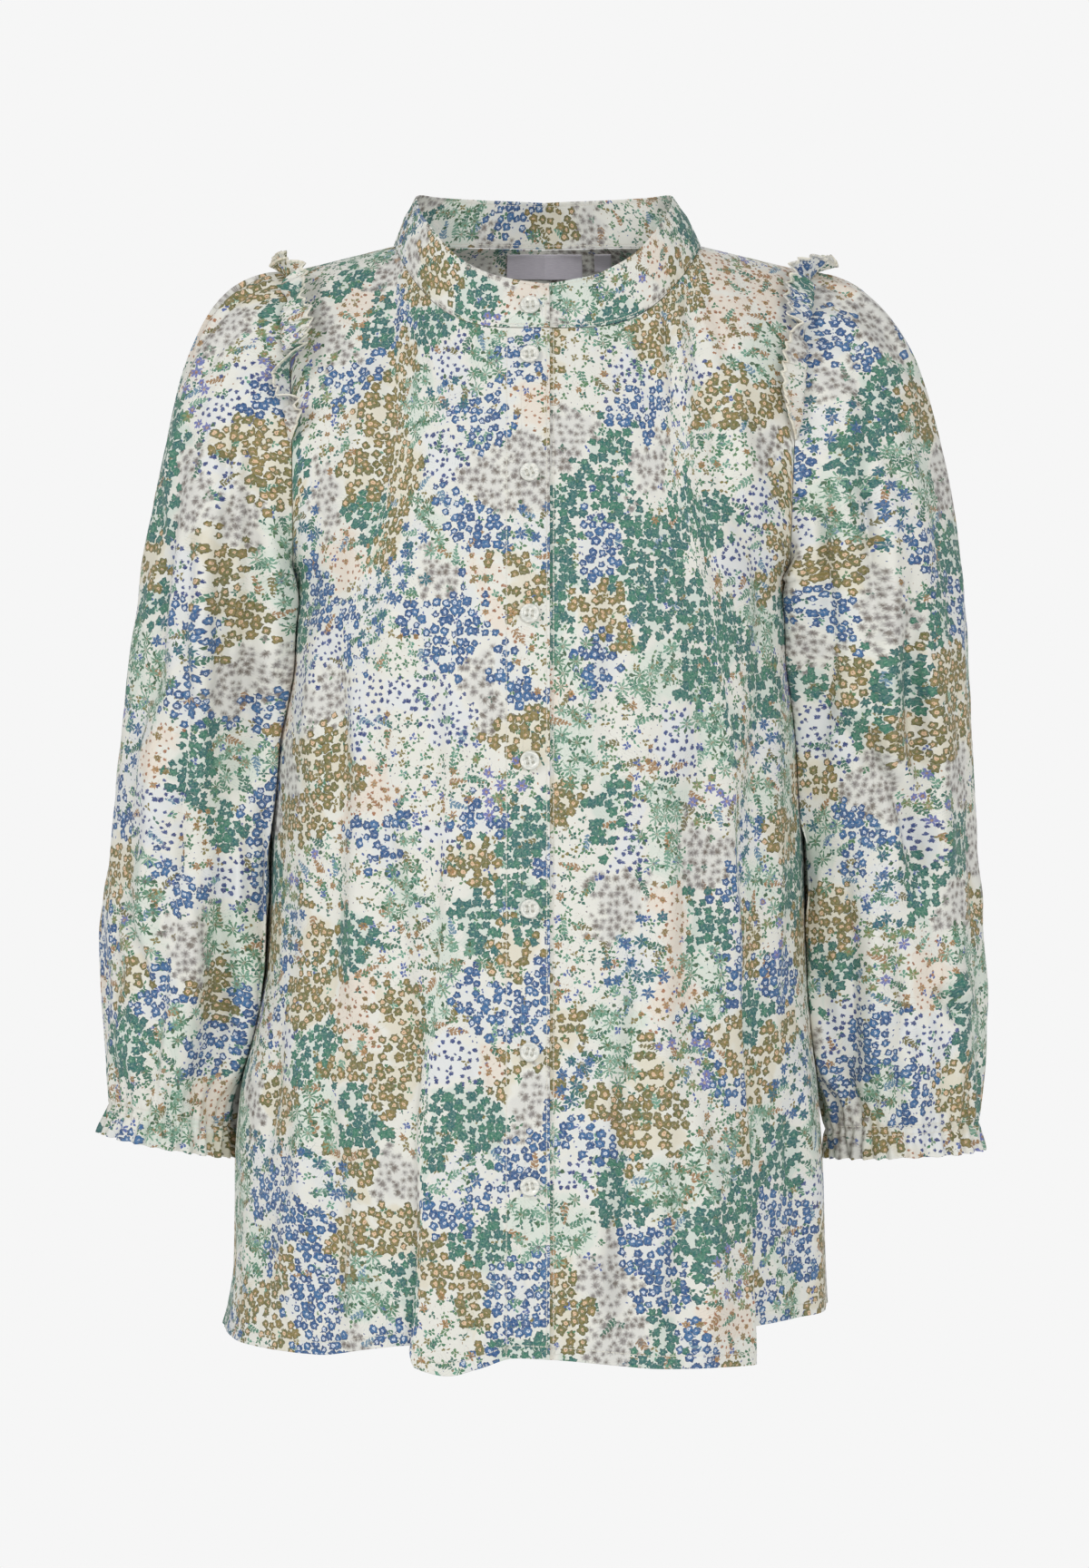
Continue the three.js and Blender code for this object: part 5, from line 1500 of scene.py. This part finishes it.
# ---------------------------------------------------------------- ruffles
def ruffle(name, side, node, shift):
    rows = RUFFLE_ROWS[side]
    first, last = rows[0][0], rows[-1][0]
    angle = np.array(widen(list(np.linspace(first, last, 340)), lambda k: 1.0))
    share = np.array(widen(list(np.linspace(0, 1, 17)), lambda k: 1.2))
    p = armhole_ring(side, angle)
    run = unit(armhole_ring(side, angle + 1) - armhole_ring(side, angle - 1))
    # the way the body's surface runs from the seam towards the neck
    u = np.full(angle.shape, 0.95)
    inward = np.zeros(p.shape)
    for front in (True, False):
        hem = along(HEM_ROWS, side * u * 90) if front else along(HEM_ROWS, side * (180 - u * 90))
        top = ridge_z(SHOULDER_HALF * u)
        near = body_point(side, front, u, np.minimum(1.0, (p[:, 2] + 0.9 - hem) / (top - hem)))
        here = (angle >= 0) if front else (angle < 0)
        inward[here] = (near - p)[here]
    inward[:, 2] += 1.2 * np.exp(-((angle / 12) ** 2))
    inward = unit(inward - run * np.sum(inward * run, -1)[:, None])
    up = unit(np.cross(inward, run) * side)
    away = np.stack([0 * angle, p[:, 1] - RIDGE_Y, p[:, 2] - ARM_MIDDLE_Z], -1)
    up *= np.sign(np.sum(up * away, -1))[:, None]
    width = along(rows, angle, 2)
    ends = smooth(first, first + 8, angle) * (1 - smooth(last - 8, last, angle))
    wave = gathers(angle + 100, 25, 200, 131 + side)
    small = gathers(angle + 100, 52, 200, 141 + side)
    forward = smooth(14, 30, angle)
    g = []
    base = p.copy()
    base[:, 0] += side * 0.72
    base += up * 0.15
    steps = np.diff(share, prepend=0.0)
    spot = base
    for s, step in zip(share, steps):
        # it rises from the seam and then bends over
        tilt = along(rows, angle, 1)
        puff = smooth(46, 26, tilt) * forward
        tilt = tilt + (128 - tilt) * puff * (1 - smooth(0.05, 0.5, s))
        tilt = tilt + (lerp(15, 6, forward) * wave * s * (1 - 0.35 * s) + lerp(7, 9, forward) * small * (1 - s * forward)) * ends
        direction = inward * np.cos(tilt * DEG)[:, None] + up * np.sin(tilt * DEG)[:, None]
        spot = spot + direction * (width * step)[:, None]
        g.append(spot + run * (1.2 * s * small * ends)[:, None])
    g = np.array(g)
    if side < 0:
        g = g[:, ::-1]
    tall = run_length(g, 0)
    wide = run_length(g[-1:], 1)
    wide = wide * 1.0 + 0 * tall
    uv = np.stack([wide + shift[0], tall + shift[1]], -1)
    from_edge = tall[-1:] - tall
    lines = [(from_edge - 2.2, wide)]
    extra = 0.0 * tall + 0.35 * (1 - smooth(1.6, 2.4, from_edge))
    pale = 1 - smooth(1.1, 1.9, from_edge)
    ob = shell(name, g, uv, PRINT, thick=0.6, extra=extra, stitch=nearest_stitch(lines), pale=pale)
    cloth_piece(ob, [node])
    return uv


# ---------------------------------------------------------------- collar
def neck_seam(angle):
    x = NECK_HALF * np.sin(angle * DEG)
    side = np.where(x < 0, -1.0, 1.0)
    u = np.abs(x) / SHOULDER_HALF
    front = body_point(side, True, u, np.ones(x.shape))
    back = body_point(side, False, u, np.ones(x.shape))
    return np.where((np.cos(angle * DEG) < 0)[..., None], front, back)


def collar_point(angle, h):
    angle = np.asarray(angle, float)
    a = np.where(np.abs(angle) > 180, 360 - np.abs(angle), np.abs(angle))
    seam = neck_seam(angle)
    top = np.stack([COLLAR_TOP_HALF * np.sin(angle * DEG), along(COLLAR_TOP_ROWS, a, 1), along(COLLAR_TOP_ROWS, a, 2)], -1)
    upward = unit(top - seam)
    start = seam + upward * COLLAR_LIFT
    p = start + (top - start) * np.asarray(h)[..., None]
    outward = p.copy()
    outward[..., 1] -= RIDGE_Y
    outward[..., 2] = 0
    outward = unit(outward)
    lap = LAP * (smooth(-125, -160, angle) - smooth(125, 160, angle))
    return p + outward * (1.5 * np.sin(math.pi * np.asarray(h)) + lap)[..., None]


def collar():
    angle = np.array(widen(list(np.linspace(-182, 193, 340)), lambda k: 1.3))
    share = np.array(widen(list(np.linspace(0, 1, 20)), lambda k: 1.5))
    g = np.stack([collar_point(angle, np.full(angle.shape, h)) for h in share])
    g = g[:, ::-1]
    turn = angle[::-1][None, :]
    wide = run_length(g, 1)
    wide = wide[8:9] + 0 * wide
    tall = run_length(g, 0)
    from_top = tall[-1:] - tall
    uv = np.stack([wide + 1100, tall + 500], -1)
    out = ripples(wide, tall * 6, 15, 0.35, (22, 60), (90, 200))
    out += 0.25 * gathers(wide + 10, 40, 420, 16) * np.exp(-tall / 6)
    calm = smooth(8, 22, np.abs(np.abs(turn) - 186))
    out = out * lerp(0.25, 1, calm)
    g = g + grid_normals(g) * out[..., None]
    ends = np.minimum(run_length(g, 1), run_length(g, 1)[:, -1:] - run_length(g, 1))
    lines = [(from_top - 2.2, wide), (tall - 1.9, wide), (ends - 2.2, tall)]
    ob = shell("collar_cloth", g, uv, PRINT, thick=1.1, stitch=nearest_stitch(lines))
    cloth_piece(ob, ["collar"])
    return uv


# ---------------------------------------------------------------- labels
def label(name, node, sizes):
    half, top, height, off, x0 = sizes
    hem = along(HEM_ROWS, 180.0)

    def inner(x, z):
        return body_at(x, False, (z - hem) / (neck_back_z(x) - hem))

    steps = int(half)
    cols = np.array(widen(list(np.linspace(-half, half, 2 * steps + 1)), lambda k: half / steps))
    rows = np.array(widen(list(np.linspace(1, 0, 14)), lambda k: height / 13))
    x = np.broadcast_to((x0 + cols)[None, :], (len(rows), len(cols)))
    z = neck_back_z(x) - top - height * rows[:, None]
    p = inner(x, z)
    across = inner(x + 2, z) - inner(x - 2, z)
    down = inner(x, z - 6) - p
    away = unit(np.cross(across, down))
    away = np.where(away[..., 1:2] > 0, -away, away)
    lift = (1.2 + 1.0) / 2 + off - 0.2
    drop = height * rows[:, None]
    bend = 0.35 * np.sin((x - x0) / half * 2.4 + 0.5) * (drop / height) ** 1.5 + 0.2 * np.sin((x - x0) * 0.45) * (drop / height)
    g = p + away * (lift + bend)[..., None]
    wide, tall = run_length(g, 1), run_length(g, 0)
    uv = np.stack([wide, tall], -1)
    from_top = tall[-1:] - tall
    ob = shell(name, g, uv, SATIN, thick=0.5, stitch=(from_top - 1.6, wide))
    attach(ob, BODY)
    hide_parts(node)


# ---------------------------------------------------------------- buttons
def front_at(z, aside=0.0):
    hem = float(along(HEM_ROWS, -4.0))
    x = BUTTON_X + aside
    p = body_at(np.array(x), True, np.array((z - hem) / (float(neck_front_z(x)) - hem)))
    p[1] -= LAP
    return p


def button_mesh(name):
    """A round four-hole button with a raised rim and a dished middle, facing +Z, and
    its thread."""
    rings, around = 30, 88
    # radius and height of the face, from the middle outwards
    profile = [(0, 1.55), (1.2, 1.5), (2.3, 1.5), (3.0, 1.62), (3.6, 1.95), (4.1, 2.17), (4.6, 2.2), (5.0, 2.05), (5.3, 1.72)]
    radii = np.linspace(0.12, 5.3, rings)
    theta = np.arange(around) * 2 * math.pi / around
    verts, faces, mats = [], [], []
    turned = theta + 0.0
    for r in radii:
        h = float(along(profile, r))
        x, y = r * np.cos(turned), r * np.sin(turned)
        z = np.full(around, h)
        for sx in (1, -1):
            for sy in (1, -1):
                d = np.hypot(x - sx * HOLE_PITCH / 2, y - sy * HOLE_PITCH / 2)
                z = z - (h - 0.25) * (1 - smooth(HOLE_R - 0.14, HOLE_R + 0.06, d)) - 0.1 * np.exp(-(((d - HOLE_R) / 0.22) ** 2))
        verts.extend(zip(x, y, z))
    for r, h in ((5.4, 1.35), (5.4, 0.7), (5.2, 0.28), (4.8, 0.05), (2.4, 0.0)):
        verts.extend((r * math.cos(a), r * math.sin(a), h) for a in theta)
    total = rings + 5
    for k in range(total - 1):
        for i in range(around):
            j = (i + 1) % around
            faces.append((k * around + i, (k + 1) * around + i, (k + 1) * around + j, k * around + j))
    top = len(verts)
    verts.append((0, 0, 1.55))
    verts.append((0, 0, 0))
    for i in range(around):
        j = (i + 1) % around
        faces.append((i, j, top))
        k = (total - 1) * around
        faces.append((k + j, k + i, top + 1))
    mats.extend([0] * len(faces))
    # two pairs of thread strands, each an arch between two holes
    for sx in (1, -1):
        for strand in (-0.28, 0.0, 0.28):
            path = []
            for s in np.linspace(0, 1, 15):
                y = lerp(-HOLE_PITCH / 2, HOLE_PITCH / 2, s)
                arch = 1 - abs(2 * s - 1) ** 4
                path.append((sx * HOLE_PITCH / 2 + strand * (1 - 0.5 * abs(2 * s - 1)), y, 0.35 + 1.52 * arch + 0.06 * (strand == 0)))
            start = len(verts)
            for k, (x, y, z) in enumerate(path):
                a = np.array(path[min(k + 1, 14)]) - np.array(path[max(k - 1, 0)])
                a = a / np.linalg.norm(a)
                b = np.cross(a, (1, 0, 0))
                for m in range(6):
                    c, s = math.cos(m * math.pi / 3), math.sin(m * math.pi / 3)
                    q = np.array((x, y, z)) + 0.16 * (c * np.array((1, 0, 0)) + s * b)
                    verts.append(tuple(q))
            for k in range(14):
                for m in range(6):
                    n = (m + 1) % 6
                    faces.append((start + k * 6 + m, start + k * 6 + n, start + (k + 1) * 6 + n, start + (k + 1) * 6 + m))
                    mats.append(1)
            faces.append(tuple(start + m for m in range(6))[::-1])
            faces.append(tuple(start + 14 * 6 + m for m in range(6)))
            mats.extend([1, 1])
    mesh = bpy.data.meshes.new(name)
    mesh.from_pydata([tuple(c * MM for c in v) for v in verts], [], faces)
    mesh.materials.append(SHELL)
    mesh.materials.append(THREAD)
    mesh.polygons.foreach_set("material_index", np.array(mats, np.int32))
    mesh.polygons.foreach_set("use_smooth", np.ones(len(mats), bool))
    mesh.update()
    return mesh


def place_button(node, point, outward, spin):
    mesh = button_mesh(node + "_shell")
    axis = Vector(outward).normalized()
    spin_by = Vector((0, 0, 1)).rotation_difference(axis).to_matrix().to_4x4()
    from mathutils import Matrix

    at = Vector([c * MM for c in point]) + axis * ((0.6 + 0.65) * MM)
    mesh.transform(Matrix.Translation(at) @ spin_by @ Matrix.Rotation(spin, 4, "Z"))
    ob = new_object(node + "_shell", mesh)
    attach(ob, BODY)
    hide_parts(node)


# ---------------------------------------------------------------- build
report = {}
report["front_right"], _right = front_panel("front_right_cloth", -1, "front_right", (300, 40))
report["front_left"], _left = front_panel("front_left_cloth", 1, "front_left", (955, 260))
report["back"], _back = back_panel()
find_sides({-1: _right, 1: _left}, _back)
report["sleeve_right"] = sleeve("sleeve_right_cloth", -1, "sleeve_right", (1500, 300))
report["sleeve_left"] = sleeve("sleeve_left_cloth", 1, "sleeve_left", (2100, 760))
report["collar"] = collar()
report["ruffle_right"] = ruffle("ruffle_right_cloth", -1, "ruffle_right", (2600, 100))
report["ruffle_left"] = ruffle("ruffle_left_cloth", 1, "ruffle_left", (2600, 300))
label("neck_label_satin", "neck_label", LABEL)
label("size_tab_satin", "size_tab", SIZE_TAB)

spins = iter((0.1, 0.0, 0.3, -0.15, 0.2, 0.05, -0.3, 0.15))
_angle = -180 - math.asin(BUTTON_X / NECK_HALF) / DEG
_low, _high = collar_point(_angle, np.array(0.2)), collar_point(_angle, np.array(0.8))
_rise = _high - _low
_at = collar_point(_angle, np.array(0.46))
_at[0] = BUTTON_X
place_button("button_1", _at, (0, -_rise[2], _rise[1]), next(spins))
for _node, _z in BUTTON_Z.items():
    _rise = front_at(_z + 6) - front_at(_z - 6)
    _run = front_at(_z, 5) - front_at(_z, -5)
    place_button(_node, front_at(_z), np.cross(_run, _rise), next(spins))


# ---------------------------------------------------------------- floor and light
def make_stage():
    mesh = bpy.data.meshes.new("floor")
    n = 96
    verts = [(3.4 * math.cos(2 * math.pi * i / n), 3.4 * math.sin(2 * math.pi * i / n), -1.46) for i in range(n)]
    mesh.from_pydata(verts, [], [tuple(range(n))])
    net = Net("floor_plain")
    place = net.node("ShaderNodeTexCoord")
    grain = net.node("ShaderNodeTexNoise")
    net.tree.links.new(place.outputs["Object"], grain.inputs["Vector"])
    grain.inputs["Scale"].default_value = 3.0
    shader = net.node("ShaderNodeBsdfPrincipled")
    tint = net.mix(net.ease(Value(net, grain.outputs["Fac"]), 0.3, 0.7), colour(240, 240, 239), colour(243, 243, 242))
    net.put(shader.inputs["Base Color"], tint)
    shader.inputs["Roughness"].default_value = 0.9
    out = net.node("ShaderNodeOutputMaterial")
    net.tree.links.new(shader.outputs[0], out.inputs["Surface"])
    mesh.materials.append(net.material)
    new_object("floor", mesh)

    world = bpy.data.worlds.new("studio")
    bpy.context.scene.world = world
    world.use_nodes = True
    # a pale wall all round at eye level, and softer light from above and below
    net = Net.__new__(Net)
    net.tree, net.count = world.node_tree, 0
    back = world.node_tree.nodes["Background"]
    place = net.node("ShaderNodeTexCoord")
    _, _, high = net.split(Value(net, place.outputs["Generated"]))
    over = net.ease(high, 0.16, 0.36)
    under = net.ease(high, -0.17, -0.4)
    sky = net.mix(over, colour(246, 246, 246), colour(160, 161, 164))
    sky = net.mix(under, sky, colour(112, 111, 109))
    net.put(back.inputs[0], sky)
    back.inputs[1].default_value = 1.0

    def soft_light(name, at, to, size, power):
        data = bpy.data.lights.new(name, "AREA")
        data.shape = "DISK"
        data.size = size
        data.energy = power
        ob = bpy.data.objects.new(name, data)
        bpy.context.scene.collection.objects.link(ob)
        ob.location = at
        ob.rotation_euler = (Vector(to) - Vector(at)).to_track_quat("-Z", "Y").to_euler()

    soft_light("key", (-2.4, -2.0, 1.7), (0, 0, -0.3), 1.1, 35.0)
    soft_light("behind", (0.4, 2.9, 1.5), (0, 0, -0.3), 1.6, 26.0)
    soft_light("front", (1.0, -3.2, 0.45), (0, 0, -0.2), 1.5, 35.0)


make_stage()
bpy.context.scene.view_settings.view_transform = "Standard"
bpy.context.scene.view_settings.look = "None"
bpy.context.scene.view_settings.exposure = 0.0

for _name, _uv in report.items():
    _w = np.ptp(_uv[..., 0])
    _l = np.ptp(_uv[..., 1])
    _du = _uv[:-1, 1:] - _uv[:-1, :-1]
    _dv = _uv[1:, :-1] - _uv[:-1, :-1]
    _area = np.abs(_du[..., 0] * _dv[..., 1] - _du[..., 1] * _dv[..., 0]).sum()
    print("flat", _name, round(float(_w), 1), round(float(_l), 1), "mm, area", round(float(_area) / 1e6, 4), "m2")
